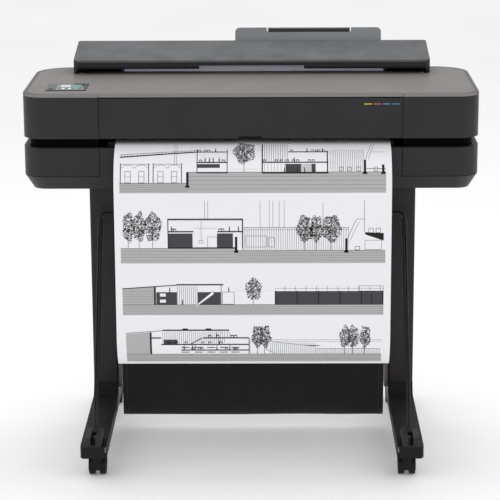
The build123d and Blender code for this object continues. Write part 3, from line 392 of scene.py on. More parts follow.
def circuit_board(name, colour):
    """Green solder mask: copper tracks show as slightly raised, lighter blocks."""
    material, tree, surface, place = new_finish(name)
    blocks = {"distance": "CHEBYCHEV", "feature": "F1"}
    voronoi = add_node(tree, "ShaderNodeTexVoronoi", blocks, Vector=place, Scale=per_metre(6))
    tracks = voronoi.outputs["Distance"]
    tone = mixed(tree, between(tree, tracks, 1.0, 0.0, 0.2, 0.45), linear(colour), linear("#2e7a4a"))
    tree.links.new(tone, surface.inputs["Base Color"])
    tree.links.new(between(tree, noise(tree, place, 4), 0.3, 0.45), surface.inputs["Roughness"])
    tree.links.new(relief(tree, tracks, 0.1), surface.inputs["Normal"])
    return material


print("paper, cloth, rubber and glass recipes ready")

# %% [markdown]
# ## Finishes
#
# One finish for each of the record's slots, and a few for single nodes. The frame's meshes aren't
# touched: each slot on a node just gets its material. Where one moulding shows two colours, a mask
# worked out from the node's own box says where the second begins. Some of these second colours are
# painted shade or painted light: the near black of the lower casing in the gap under the lid, the
# dark front of the grip on the tray's extension and the lighter forward faces of the lid.

# %% Where a finish changes
ROLL_AXIS = (143.0, 857.0)
LID_TOP = 876.0
LOWER_CASING_TOP = 754.2
FRONT_CORNER, REAR_CORNER, RIM_WIDTH = 48.0, 78.0, 8.0  # of the lid, seen from above
GRIP_SHIFT, GRIP_HALF, GRIP_DOWN = 2.0, 96.8, (11.0, 3.2)  # from the middle and the top of the extension


def outside_groove(tree, place):
    """The rim of the lid, outside the fine groove that runs near its edge."""
    low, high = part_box("top_panel")
    middle = ((low.x + high.x) / 2, (low.y + high.y) / 2, 0.0)
    half = ((high.x - low.x) / 2, (high.y - low.y) / 2)
    centred = vector_maths(tree, "SUBTRACT", place, middle)
    folded = vector_maths(tree, "ABSOLUTE", centred)
    rims = []
    for radius in (FRONT_CORNER, REAR_CORNER):
        corner = (half[0] - radius * MM, half[1] - radius * MM, 10.0)
        past = vector_maths(tree, "MAXIMUM", vector_maths(tree, "SUBTRACT", folded, corner), (0.0, 0.0, 0.0))
        reach = vector_maths(tree, "LENGTH", past, result="Value")
        inner = radius - RIM_WIDTH
        rims.append(between(tree, reach, 0.0, 1.0, (inner - 0.4) * MM, inner * MM))
    rear = between(tree, part_of(tree, centred, "Y"), 0.0, 1.0, -0.001, 0.001)
    return add_node(tree, "ShaderNodeMix", {"data_type": "FLOAT"}, i0=rear, i2=rims[0], i3=rims[1]).outputs[0]


def facing_front(tree, place):
    """Faces that look straight forward."""
    return between(tree, facing(tree, "Y"), 1.0, 0.0, -0.6, -0.5)


def grip_front_painted_shade(tree, place):
    """The front of the pressed grip near the top of the tray's extension, where it is painted dark as painted
    shade.
    """
    low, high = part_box("tray_extension")
    middle = (low.x + high.x) / 2 + GRIP_SHIFT * MM
    grip_low, grip_high = (high.z / MM - down for down in GRIP_DOWN)
    aside = maths(tree, "ABSOLUTE", maths(tree, "SUBTRACT", part_of(tree, place, "X"), middle))
    within = between(tree, aside, 1.0, 0.0, GRIP_HALF * MM, (GRIP_HALF + 0.5) * MM)
    height = part_of(tree, place, "Z")
    low_edge = between(tree, height, 0.0, 1.0, grip_low * MM, (grip_low + 0.4) * MM)
    high_edge = between(tree, height, 1.0, 0.0, (grip_high - 0.4) * MM, grip_high * MM)
    return times(tree, times(tree, within, facing_front(tree, place)), times(tree, low_edge, high_edge))


def rimmed_lid(name):
    """The taupe lid, with its rim greyer outside the groove, its forward faces painted lighter as painted
    light, and black on top of the hinge blocks.
    """
    material = moulded_plastic(name, "#726e6c", 0.48, 0.45, 0.03, dust_and_painted_top_light=0.05)
    material = marked(material, outside_groove, "#5c5c5e")
    # Painted light: the faces that look forward are painted a lighter taupe.
    material = marked(material, facing_front, "#7d7a79")
    return marked(material, above(LID_TOP), "#0c0c0d", matt=True)


def rolled_paper(name):
    """The paper on the roll, with a faint violet glow that is painted light for the roll in the shade of the
    cover.
    """
    material = bond_paper(name, "#f0f0f8", ring_centre=ROLL_AXIS)
    surface = opened(material)[1]
    # Painted light: a faint violet glow, though the paper is no lamp.
    surface.inputs["Emission Color"].default_value = linear("#e3ddf6")
    surface.inputs["Emission Strength"].default_value = 0.1
    return material


print("masks ready")

# %% Finishes
CASING = ("#202022", 0.42)
TRAY = ("#83868a", 0.5)
finishes = {
    "casing_dark": moulded_plastic("abs_casing_dark", *CASING),
    "window_dark": moulded_plastic("polycarbonate_window_dark", "#1f1f21", 0.38, 0.3, 0.01),
    "lid_taupe": rimmed_lid("abs_lid_taupe_rimmed"),
    # The large amount of pale grey on upward faces here is painted light: it makes the top of the roll cover
    # lighter than its front.
    "cover_grey": moulded_plastic("abs_roll_cover_grey", "#222325", 0.4, dust_and_painted_top_light=0.3, dust_and_painted_top_light_colour="#94989c"),
    "tray_grey": moulded_plastic("abs_sheet_tray_grey", *TRAY),
    "trough_black": moulded_plastic("abs_trough_black", "#1b1b1d", 0.55),
    "panel_black": moulded_plastic("abs_panel_black", "#131315", 0.28, 0.3, 0.01),
    "button_grey": moulded_plastic("abs_button_grey", "#3c3d40", 0.4, 0.3, 0.01),
    "inlet_black": moulded_plastic("nylon_inlet_black", "#161617", 0.5),
    "hood_nylon": moulded_plastic("nylon_hood_black", "#0c0c0d", 0.5, 0.6, 0.04, dust_and_painted_top_light=0.01, gloss=0.2),
    "wheel_nylon": moulded_plastic("nylon_wheel_black", "#09090a", 0.48, 0.6, 0.03, dust_and_painted_top_light=0.01, gloss=0.2),
    "fork_plastic": moulded_plastic("nylon_fork_black", "#221e1f", 0.48, 0.5, 0.04),
    "carriage_black": moulded_plastic("abs_carriage_black", "#1e1e20", 0.5),
    "head_grey": moulded_plastic("abs_printhead_grey", "#55575b", 0.45),
    "spindle_dark": moulded_plastic("abs_spindle_dark", "#2a2b2e", 0.45),
    "hub_blue": moulded_plastic("abs_hub_blue", "#2c5fa0", 0.42),
    "gear_white": moulded_plastic("acetal_gear_white", "#d8d6cd", 0.4, 0.4, 0.01),
    "ink_yellow": moulded_plastic("cartridge_yellow", "#d9b51c", 0.4),
    "ink_magenta": moulded_plastic("cartridge_magenta", "#b3265f", 0.4),
    "ink_cyan": moulded_plastic("cartridge_cyan", "#1b86b8", 0.4),
    "ink_black": moulded_plastic("cartridge_black", "#1a1a1b", 0.4),
    "stand_paint": powder_coat("powder_coat_stand", "#262121", 0.42),
    "bracket_grey": powder_coat("powder_coat_bracket_grey", "#77716f", 0.5),
    "wire_black": powder_coat("powder_coat_wire_black", "#131213", 0.4, 1.0),
    "screw_steel": ground_steel("zinc_screw_steel", "#a5a29c", 0.34, 0.2, 1.0),
    "bare_steel": ground_steel("ground_steel_bright", "#bdbcba", 0.26),
    "motor_steel": ground_steel("rolled_steel_motor", "#8d8c8a", 0.4, 0.4, 4.0),
    "sleeve_black": moulded_rubber("pvc_sleeve_black", "#1a191a"),
    "belt_rubber": moulded_rubber("neoprene_belt_black", "#151516"),
    "screen_glass": cover_glass("glass_screen_cover", "#0d0f12"),
    "board_green": circuit_board("solder_mask_green", "#14532f"),
    "bin_cloth": woven_polyester("polyester_bin_black", "#121415"),
    "paper_white": bond_paper("bond_paper_white", "#eeeef2"),
}
lower_casing = moulded_plastic("abs_lower_casing", *CASING)
feet_coat = powder_coat("powder_coat_feet", "#1a1717", 0.5, dust_and_painted_top_light=0.02, gloss=0.15)
own_finish = {
    # Painted shade: above its top edge, in the gap under the lid, the lower casing is painted near black and
    # matt.
    "base_shell": marked(lower_casing, above(LOWER_CASING_TOP), "#060607", matt=True),
    # Painted shade: the front of the pressed grip on the extension is painted dark.
    "tray_extension": marked(moulded_plastic("abs_extension_grey", *TRAY), grip_front_painted_shade, "#2a2c30"),
    "media_roll": rolled_paper("bond_paper_rolled"),
    "left_foot": feet_coat,
    "right_foot": feet_coat,
    "lower_left_panel": dotted_plastic("abs_panel_dotted", *CASING, 2.6, 0.12),
}
for name, node in nodes.items():
    for slot in node.material_slots:
        slot.material = own_finish.get(name) or finishes[slot.material.name]
print(f"{len(finishes) + len(own_finish)} finishes on {len(nodes)} nodes")

# %% [markdown]
# ## The drawing on the sheet
#
# The printed sheet leaves the platen level, turns down over a round lip, hangs straight and curls
# back at its end. A drawing is ink a few thousandths of a millimetre thick; here it is a skin of
# flat shapes that lie just off the paper and follow its bends. A point on the sheet is given by
# `across`, millimetres from the middle, and `down`, millimetres along the paper from where it
# starts to bend. The drawing is four long sections through buildings and a park, one above
# another.

# %% Where a point of the sheet is
LIP_RADIUS = 93.0  # the bend where the paper leaves the machine
LIP_START = (-205.0, 763.25)
CURL_RADIUS = 100.0  # the end of the paper still remembers the roll
CURL_TURN = math.radians(50)
sheet_low, sheet_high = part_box("printed_sheet")
HANG_END = sheet_low.z / MM + CURL_RADIUS * math.sin(CURL_TURN)
MARGIN_SHIFT = -2.0  # the drawing's own middle lies a little right of zero
SHEET_MIDDLE = (sheet_low.x + sheet_high.x) / 2 / MM + MARGIN_SHIFT
lip_length = LIP_RADIUS * math.pi / 2
hang_length = LIP_START[1] - LIP_RADIUS - HANG_END


def on_sheet(across, down, lift):
    """The place in the row frame of a point that lies this far off the middle of the sheet."""
    y, z = LIP_START
    if down < lip_length:
        turn = down / LIP_RADIUS
        reach = LIP_RADIUS + lift
        y, z = y - reach * math.sin(turn), z - LIP_RADIUS + reach * math.cos(turn)
    elif down < lip_length + hang_length:
        y, z = y - LIP_RADIUS - lift, z - LIP_RADIUS - (down - lip_length)
    else:
        turn = (down - lip_length - hang_length) / CURL_RADIUS
        reach = CURL_RADIUS + lift
        y, z = y - LIP_RADIUS + CURL_RADIUS - reach * math.cos(turn), HANG_END - reach * math.sin(turn)
    return Vector((SHEET_MIDDLE + across, y, z)) * MM


print(f"the hanging part of the sheet is {lip_length + hang_length:.0f} mm long")


# %% [markdown]
# ### Drawing tools
#
# A draughtsman's few marks: a filled block, a straight line, and a tree made of leaf strokes. Long
# shapes are cut into short steps so that they bend with the paper.


# %% Drawing tools
class Ink:
    """Collects flat shapes on the sheet, each with its tone.

    The tones are 0 line black, 1 solid dark, 2 ground, 3 pale and 4 bare paper.
    """

    STEP = 9.0
    LIFTS = (0.50, 0.42, 0.36, 0.42, 0.46)  # one tone lies over another without touching it

    def __init__(self):
        self.points, self.faces, self.tones = [], [], []
        self.datum = 0.0  # how far down the paper the strip being drawn is moved

    def band(self, left, right, down_left, down_right, height_left, height_right, tone):
        """A block between two upright edges, which may slope."""
        down_left, down_right = down_left + self.datum, down_right + self.datum
        parts = 1
        if down_left != down_right:  # a slope goes in short pieces
            parts = math.ceil(max(right - left, abs(down_right - down_left)) / self.STEP)
        for i in range(parts):
            ends = [i / parts, (i + 1) / parts]
            across = [left + (right - left) * t for t in ends]
            down = [down_left + (down_right - down_left) * t for t in ends]
            heights = [height_left + (height_right - height_left) * t for t in ends]
            self.patch(*across, *down, *heights, tone)

    def patch(self, left, right, down_left, down_right, height_left, height_right, tone):
        """The faces of one block, in steps down the paper."""
        start, end = min(down_left, down_right), max(down_left + height_left, down_right + height_right)
        steps = max(1, math.ceil((end - start) / self.STEP))
        first = len(self.points)
        for i in range(steps + 1):
            part = i / steps
            self.points.append(on_sheet(left, down_left + height_left * part, self.LIFTS[tone]))
            self.points.append(on_sheet(right, down_right + height_right * part, self.LIFTS[tone]))
        for i in range(steps):
            a = first + 2 * i
            self.faces.append((a, a + 2, a + 3, a + 1))
            self.tones.append(tone)

    def block(self, left, right, top, bottom, tone):
        self.band(left, right, top, top, bottom - top, bottom - top, tone)

    def level(self, left, right, down, width, tone=0):
        self.block(left, right, down - width / 2, down + width / 2, tone)

    def upright(self, across, top, bottom, width=0.9, tone=0):
        self.block(across - width / 2, across + width / 2, top, bottom, tone)

    def slope(self, left, right, down_left, down_right, width=0.8, tone=0):
        width *= math.hypot(1, (down_right - down_left) / (right - left))
        self.band(left, right, down_left - width / 2, down_right - width / 2, width, width, tone)

    def box(self, left, right, top, bottom, width=0.7, tone=0):
        for down in (top, bottom):
            self.level(left, right, down, width, tone)
        for across in (left, right):
            self.upright(across, top, bottom, width, tone)

    def uprights(self, left, right, spacing, top, bottom, width=0.5, tone=0):
        count = max(1, round((right - left) / spacing))
        for i in range(count + 1):
            self.upright(left + (right - left) * i / count, top, bottom, width, tone)

    def tree(self, across, ground, trunk_top, crown_wide, crown_high, seed):
        """A trunk with two short branches and a crown of short leaf strokes."""
        hand = random.Random(seed)
        middle = trunk_top - crown_high / 2 + 4
        self.upright(across, middle, ground, 0.9)
        for lean in (-1, 1):
            self.slope(across, across + 3.0, middle + 10, middle + 10 - 6 * lean, 0.6)
        for _ in range(int(crown_wide * crown_high / 3.0)):
            angle, reach = hand.uniform(0, 2 * math.pi), math.sqrt(hand.random())
            bumpy = 1 + 0.10 * math.sin(5 * angle + seed)
            x = across + crown_wide / 2 * reach * bumpy * math.cos(angle)
            down = middle + crown_high / 2 * reach * bumpy * math.sin(angle)
            wide, high = hand.uniform(0.9, 2.8), hand.uniform(0.6, 1.5)
            drop = hand.uniform(-1.2, 1.2)
            tone = 0 if hand.random() < 0.6 else 1
            self.band(x, x + wide, down, down + drop, high, high, tone)

    def person(self, across, ground):
        self.block(across - 1.1, across + 1.1, ground - 9, ground, 0)
        self.block(across - 0.8, across + 0.8, ground - 11.4, ground - 9.6, 0)

    def pile(self, across, top, bottom):
        """A retaining wall cut through, on its footing."""
        self.block(across - 2.6, across + 2.6, top, bottom, 0)
        self.block(across - 4.6, across + 4.6, bottom - 4.5, bottom, 0)

    def ground(self, left, right, top, bottom):
        self.block(left, right, top, bottom, 2)
        self.level(left, right, top, 0.9)
        for i in range(1, 5):
            self.level(left, right, top + (bottom - top) * i / 5, 0.4, 1)

    def floor(self, left, right, down, furniture=0, seed=1):
        """A floor slab, with people and tables on it."""
        self.level(left, right, down, 2.8)
        hand = random.Random(seed)
        for _ in range(furniture):
            spot = hand.uniform(left + 5, right - 5)
            if hand.random() < 0.4:
                self.person(spot, down - 1)
            else:
                self.level(spot - 3.4, spot + 3.4, down - 6, 2.0)
                self.uprights(spot - 2.8, spot + 2.8, 5.6, down - 6, down - 1, 1.0)

    def mesh(self, name, inks):
        piece = new_piece(name, self.points, [], self.faces, inks)
        piece.data.polygons.foreach_set("material_index", self.tones)
        piece.data.update()
        return piece


print("drawing tools ready")

# %% [markdown]
# ### The four sections
#
# From the top: a school on a terrace beside a park; a long hall with its yard; a low building cut
# into the hill with a glazed front; a library with its reading terraces.

# %% The four sections
LEFT, RIGHT = -290.0, 294.0
ink = Ink()

# first section: a step in the ground at the left, two buildings of two floors
ink.ground(LEFT, -141, 127, 149)
ink.ground(-141, RIGHT, 103, 149)
ink.pile(-141, 103, 137)
ink.slope(LEFT, -121, 66, 51, 3.2)
ink.slope(LEFT, -121, 59, 46, 0.9)
for i in range(24):
    ink.upright(LEFT + 3 + 7 * i, 59.5 - 0.55 * i, 65.5 - 0.6 * i, 0.8)
for bay in (LEFT, LEFT + 72):
    ink.uprights(bay + 2, bay + 64, 62, 82, 127, 1.8, 1)
    ink.level(bay, bay + 66, 84, 0.8)
    for half in (0, 1):
        door = bay + 12 + 30 * half
        for i in range(8):
            turn = math.pi * i / 8
            reach = 14.0
            x, nxt = (door + 6 - reach * math.cos(t) for t in (turn, turn + math.pi / 8))
            d, dn = (94 - 8 * math.sin(t) for t in (turn, turn + math.pi / 8))
            ink.slope(x, nxt, d, dn, 0.6)
        ink.box(door, door + 12, 101, 126, 0.8)
        ink.level(door, door + 12, 113, 0.6)
ink.upright(-170, 22, 86, 0.6)
ink.upright(-165, 22, 86, 0.6)
ink.floor(-121, -53, 51, 4, 3)
ink.floor(-121, -53, 80, 6, 4)
ink.floor(-121, -53, 104, 0)
ink.uprights(-120, -54, 66, 42, 104, 1.7)
ink.block(-119, -70, 84, 93, 1)
ink.uprights(-112, -58, 6, 55, 78, 0.4, 3)
ink.tree(-17, 103, 78, 47, 68, 11)
ink.level(-50, 22, 96, 0.5, 3)
ink.level(-50, 22, 46, 0.5, 3)
ink.floor(80, 168, 51, 7, 5)
ink.floor(23, 168, 80, 9, 6)
ink.floor(23, 168, 105, 3, 7)
ink.upright(23, 22, 105, 2.6)
ink.upright(166, 48, 105, 2.4)
ink.uprights(28, 78, 5, 24, 78, 0.8, 1)
ink.uprights(28, 72, 7, 83, 103, 0.5, 1)
ink.block(74, 108, 84, 103, 1)
ink.block(108, 131, 84, 103, 3)
ink.block(131, 140, 84, 103, 1)
ink.uprights(172, 246, 4.2, 44, 101, 0.7, 1)
ink.pile(248, 74, 108)
ink.pile(288, 86, 108)
ink.slope(250, 264, 72, 22, 0.7)
ink.slope(256, 270, 72, 22, 0.7)
ink.level(252, RIGHT, 96, 1.2)
ink.level(262, RIGHT, 52, 0.7, 1)
for spot in (196, 214, 234, 272):
    ink.box(spot - 4, spot + 4, 92, 101, 0.9)

# second section: a long hall, a yard wall of boards, trees
ink.ground(LEFT, -34, 274, 308)
ink.ground(-34, RIGHT, 279, 308)
for i, (spot, wide) in enumerate(((-273, 26), (-249, 28), (-219, 36))):
    ink.tree(spot, 274, 254, wide, 66, 20 + i)
ink.uprights(-104, -97, 7, 166, 208, 0.7, 1)
ink.level(-186, -20, 208, 3.0)
ink.uprights(-184, -22, 4, 207, 212, 0.7)
ink.uprights(-185, -21, 164, 208, 274, 1.8)
ink.floor(-186, -129, 236, 3, 8)
ink.floor(-76, -20, 236, 4, 9)
ink.floor(-186, -34, 273, 0)
ink.block(-186, -131, 240, 273, 1)
ink.block(-77, -42, 240, 273, 1)
ink.box(-98, -77, 248, 272, 0.6)
ink.upright(-112, 212, 256, 0.6)
ink.box(-117, -108, 256, 262, 0.7)
ink.pile(-35, 248, 284)
ink.level(-129, -77, 228, 0.5, 1)
for spot, top in ((18, 166), (38, 166), (46, 166), (60, 166), (71, 166), (156, 170), (247, 166)):
    ink.upright(spot, top, 227, 0.7, 1)
ink.level(-18, 214, 227, 0.8)
ink.level(-18, 214, 232, 0.5)
ink.uprights(-16, 212, 5.0, 227, 278, 0.65, 1)
ink.box(-14, 32, 246, 271, 0.7)
ink.box(36, 50, 250, 271, 0.7)
ink.upright(-20, 208, 279, 0.9)
for i, (spot, wide) in enumerate(((116, 38), (141, 26), (174, 42))):
    ink.tree(spot, 279, 255, wide, 60, 30 + i)
ink.pile(208, 252, 284)
ink.slope(210, 230, 252, 208, 0.8)
ink.slope(216, 236, 256, 214, 0.6)
ink.level(230, 248, 208, 0.8)
ink.upright(247, 208, 238, 0.8)
ink.band(249, 290, 238, 240, 5, 17, 0)
ink.box(249, 285, 256, 277, 0.7)
for spot, top, bottom in ((262, 229, 239), (278, 229, 239), (232, 270, 278)):
    ink.box(spot - 5, spot + 5, top, bottom, 0.9)

# third section: a building cut into the hill, a long glazed front
ink.ground(-288, RIGHT - 3, 403, 427)
ink.band(-288, -216, 367, 362, 36, 41, 2)
for i in range(1, 6):
    ink.level(-288, -216, 366 + 6 * i, 0.4, 1)
ink.slope(-288, -168, 366, 358, 2.0)
ink.level(-168, -64, 357, 3.0)
ink.block(-218, -214, 362, 403, 0)
ink.block(-213, -167, 374, 403, 1)
for top in (377, 391):
    ink.block(-205, -192, top, top + 7, 4)
ink.person(-183, 374)
ink.person(-155, 403)
ink.uprights(-166, -122, 4.4, 360, 402, 0.7, 1)
ink.block(-121, -70, 374, 403, 1)
ink.band(-124, -86, 403, 371, 4, 8, 4)
ink.slope(-124, -86, 403, 371, 0.7)
ink.upright(-69, 358, 403, 1.2)
ink.box(-66, -40, 374, 402, 0.8)
ink.person(-52, 374)
ink.tree(2, 403, 388, 35, 50, 41)
ink.level(-38, 44, 371, 0.5, 3)
ink.block(50, 291, 374, 403, 1)
for i in range(6):
    ink.upright(52 + 47.5 * i, 371, 403, 2.0)
ink.upright(265, 374, 403, 1.2, 3)
ink.level(50, 291, 373, 1.6)
ink.level(50, 291, 366, 0.6, 1)
ink.uprights(72, 284, 23.5, 360, 373, 0.7, 1)
ink.box(236, 290, 360, 372, 0.6)

# fourth section: a library on terraces
ink.datum = -7.0
ink.ground(-282, RIGHT - 6, 530, 557)
ink.slope(-282, -200, 476, 470, 1.2)
ink.level(-200, -52, 469, 3.0)
ink.band(-282, -228, 478, 474, 52, 56, 2)
ink.block(-229, -225, 474, 530, 0)
ink.floor(-226, -204, 487, 0)
ink.floor(-204, -8, 503, 10, 12)
ink.floor(-160, -8, 518, 12, 13)
ink.floor(-110, -8, 487, 5, 14)
ink.block(-198, -168, 491, 502, 1)
ink.uprights(-200, -62, 4.6, 472, 500, 0.7, 1)
ink.slope(-140, -112, 503, 487, 2.0)
for spot in (-150, -120, -92, -64, -38):
    ink.level(spot - 9, spot + 9, 511, 2.2, 1)
    ink.level(spot - 9, spot + 9, 524, 2.2, 1)
for spot in (-150, -98):
    ink.block(spot - 6, spot + 6, 465, 468, 0)
ink.uprights(-8, -6, 2, 487, 529, 1.0)
ink.uprights(-56, -50, 6, 472, 487, 0.8)
for i, spot in enumerate((11, 27)):
    ink.tree(spot, 530, 506, 26, 52, 50 + i)
ink.level(-4, RIGHT - 6, 492, 0.6, 1)
ink.level(-4, RIGHT - 6, 496, 0.4, 1)
ink.uprights(40, 140, 4.6, 499, 530, 0.65, 1)
ink.slope(40, 140, 496, 508, 0.7)
ink.level(118, 150, 506, 1.6, 1)
ink.uprights(142, 284, 3.6, 514, 530, 0.6, 1)
ink.level(142, 284, 514, 0.7, 1)
ink.slope(30, 52, 516, 528, 2.4, 3)
for i, spot in enumerate((206, 224, 250)):
    ink.tree(spot, 530, 506, 24, 52, 60 + i)
print(f"{len(ink.faces)} shapes of ink")


# %% [markdown]
# ### Ink
#
# Thermal inkjet lays down dots in passes as wide as the printhead. The tone is even, with a faint
# band where two passes meet and a slight mottle where the paper took more ink.


# %% Ink
def printed_ink(name, colour, mottle=0.1):
    material, tree, surface, place = new_finish(name)
    base = linear(colour)
    paler = shade(base, 1 - mottle, mottle)
    passes = bands(tree, place, 21, {"bands_direction": "Z"})
    dots = noise(tree, place, 0.8, 4.0, 0.7)
    tone = mixed(tree, between(tree, dots, 0.0, 1.0), base, paler)
    tone = mixed(tree, between(tree, passes, 0.0, 0.08, 0.0, 1.0), tone, paler)
    tree.links.new(tone, surface.inputs["Base Color"])
    tree.links.new(between(tree, dots, 0.6, 0.72), surface.inputs["Roughness"])
    tree.links.new(relief(tree, dots, 0.01), surface.inputs["Normal"])
    surface.inputs["Specular IOR Level"].default_value = 0.2
    return material


inks = [
    printed_ink("ink_line_black", "#101011", 0.015),
    printed_ink("ink_solid_dark", "#3a3b3e", 0.03),
    printed_ink("ink_ground_grey", "#a8a6a7", 0.14),
    printed_ink("ink_pale_grey", "#b9b9bc", 0.2),
    finishes["paper_white"],
]
drawing = ink.mesh("print_drawing", inks)
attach(drawing, "printer")
print("the drawing is on the sheet")

# %% [markdown]
# ## Marks on the window
#
# Four short dashes in the ink colours are pad printed on the right of the window. They lie flush,
# so each is a thin patch just off its front face, and moves up with the window.


# %% Marks on the window
def flat_patch(name, corners, finish):
    """A thin patch through these points of the row frame, in millimetres."""
    points = [Vector(corner) * MM for corner in corners]
    return new_piece(name, points, [], [tuple(range(len(points)))], [finish])


def rounded_corners(left, right, low, high, radius, steps=6):
    """The outline of a rounded rectangle, anticlockwise."""
    outline = []
    for x, y, first in (
        (right - radius, high - radius, 0),
        (left + radius, high - radius, 90),
        (left + radius, low + radius, 180),
        (right - radius, low + radius, 270),
    ):
        for i in range(steps + 1):
            turn = math.radians(first + 90 * i / steps)
            outline.append((x + radius * math.cos(turn), y + radius * math.sin(turn)))
    return outline


def lacquer(name, colour, glow=0.0):
    """Pad printing lacquer: thin, even and a little glossy."""
    material, tree, surface, place = new_finish(name)
    fine = noise(tree, place, 0.7, 3.0)
    base = linear(colour)
    tone = mixed(tree, between(tree, fine, 0.0, 0.12), base, linear("#ffffff"))
    tree.links.new(tone, surface.inputs["Base Color"])
    tree.links.new(between(tree, fine, 0.32, 0.44), surface.inputs["Roughness"])
    if glow:
        tree.links.new(tone, surface.inputs["Emission Color"])
        surface.inputs["Emission Strength"].default_value = glow
    return material


window_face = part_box("front_window")[0].y / MM
DASH_FIRST, DASH_LONG, DASH_GAP, DASH_HIGH, DASH_Z = 250.0, 17.0, 3.2, 2.0, 852.0
dashes = {"yellow": "#d8b11c", "magenta": "#b7285f", "cyan": "#1f7fae", "grey": "#4d6a78"}
for i, (colour, tint) in enumerate(dashes.items()):
    left = DASH_FIRST + i * (DASH_LONG + DASH_GAP)
    outline = rounded_corners(left, left + DASH_LONG, DASH_Z - DASH_HIGH / 2, DASH_Z + DASH_HIGH / 2, 0.9)
    dash = flat_patch(
        f"window_dash_{colour}",
        [(x, window_face - 0.15, z) for x, z in outline],
        lacquer(f"lacquer_{colour}", tint),
    )
    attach(dash, "window")
print("four dashes on the window")

# %% [markdown]
# ## The picture on the touch screen
#
# The screen lies flat in the control panel. It shows a plain idle page: a pale tile, a teal tile
# and a row of dots, without words. Each tile is a lit patch just over the cover glass.

# %% The picture on the touch screen
low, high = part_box("touch_screen")
screen_top = high.z / MM + 0.12
left, right, front, back = (v / MM for v in (low.x, high.x, low.y, high.y))
wide, deep = right - left, back - front
tiles = {
    "page": ((0.06, 0.94, 0.08, 0.92), "#23323a", 0.15, 2.0, 0.0),
    "status": ((0.12, 0.50, 0.48, 0.84), "#b4bfc2", 0.2, 1.6, 0.1),
    "queue": ((0.56, 0.88, 0.48, 0.84), "#3a7a79", 0.2, 1.6, 0.1),
    "bar": ((0.12, 0.88, 0.36, 0.41), "#8a9a9f", 0.3, 1.0, 0.1),
    "dot_left": ((0.20, 0.32, 0.16, 0.26), "#dfe6e8", 0.6, 2.0, 0.1),
    "dot_middle": ((0.44, 0.56, 0.16, 0.26), "#dfe6e8", 0.6, 2.0, 0.1),
    "dot_right": ((0.68, 0.80, 0.16, 0.26), "#2d9c9a", 0.6, 2.0, 0.1),
}
for name, ((x0, x1, y0, y1), tint, glow, radius, lift) in tiles.items():
    edges = (left + wide * x0, left + wide * x1, front + deep * y0, front + deep * y1)
    corners = [(x, y, screen_top + lift) for x, y in rounded_corners(*edges, radius)]
    tile = flat_patch(f"screen_{name}", corners, lacquer(f"display_{name}", tint, glow))
    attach(tile, "printer")
print(f"{len(tiles)} patches on the screen")

# %% [markdown]
# ## The cloth of the bin
#
# The bin is one long piece of black polyester. Its front edge is sewn round the top rod of the
# bow, its back edge round the bar between the legs, and between the two it hangs in a deep loop
# that catches the cut sheets. The two sleeves are held; the rest is dropped under its own weight
# as a cloth simulation, so that it hangs in a true loop with the slight ripples of cloth that has
# been packed flat. Flat, the piece measures its width by the length along the loop.

# %% The flat cloth, laid along its loop
CLOTH_HALF = 316.0
ACROSS_STEPS = 56
ALONG_STEP = 11.0
SLEEVE_STEPS, FLOOR_STEPS = 8, 12
rod_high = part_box("bin_top_rod")[1]
bar_low, bar_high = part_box("bin_back_bar")
rod_radius = 3.5
rod_centre = (rod_high.y / MM - rod_radius, rod_high.z / MM - rod_radius)
bar_radius = (bar_high.z - bar_low.z) / MM / 2
bar_centre = ((bar_low.y + bar_high.y) / MM / 2, (bar_low.z + bar_high.z) / MM / 2)
BAG_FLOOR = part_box("bin_fabric")[0].z / MM + 2.0
SLEEVE_GAP = 1.2


def arc(centre, radius, first, last):
    """Points (y, z) round the middle of a sleeve, between two angles in degrees."""
    turns = [math.radians(first + (last - first) * i / SLEEVE_STEPS) for i in range(SLEEVE_STEPS + 1)]
    return [(centre[0] + radius * math.cos(turn), centre[1] + radius * math.sin(turn)) for turn in turns]


def loop_profile():
    """Points (y, z) round the top rod, down the front, through the bottom and round the back bar."""
    rod_reach, bar_reach = rod_radius + SLEEVE_GAP, bar_radius + SLEEVE_GAP
    rod_y, rod_z = rod_centre
    bar_y, bar_z = bar_centre
    front_y, back_y = rod_y - rod_reach, bar_y - bar_reach
    bag_radius = (back_y - front_y) / 2
    points = arc(rod_centre, rod_reach, -60, 180)  # from behind over the top to the front
    straight = rod_z - (BAG_FLOOR + bag_radius)
    count = round(straight / ALONG_STEP)
    points += [(front_y, rod_z - straight * i / count) for i in range(1, count)]
    for i in range(FLOOR_STEPS + 1):
        turn = math.pi * i / FLOOR_STEPS
        y = front_y + bag_radius - bag_radius * math.cos(turn)
        points.append((y, BAG_FLOOR + bag_radius - bag_radius * math.sin(turn)))
    rise = bar_z - (BAG_FLOOR + bag_radius)
    count = round(rise / ALONG_STEP)
    points += [(back_y, BAG_FLOOR + bag_radius + rise * i / count) for i in range(1, count)]
    return points + arc(bar_centre, bar_reach, 180, -40)  # up the front of the bar and over its top


profile = loop_profile()
along = [0.0]
for (y0, z0), (y1, z1) in zip(profile, profile[1:]):
    along.append(along[-1] + math.hypot(y1 - y0, z1 - z0))
ripple = random.Random(7)
phases = [ripple.uniform(0, 2 * math.pi) for _ in range(5)]
HELD_ROWS = 9

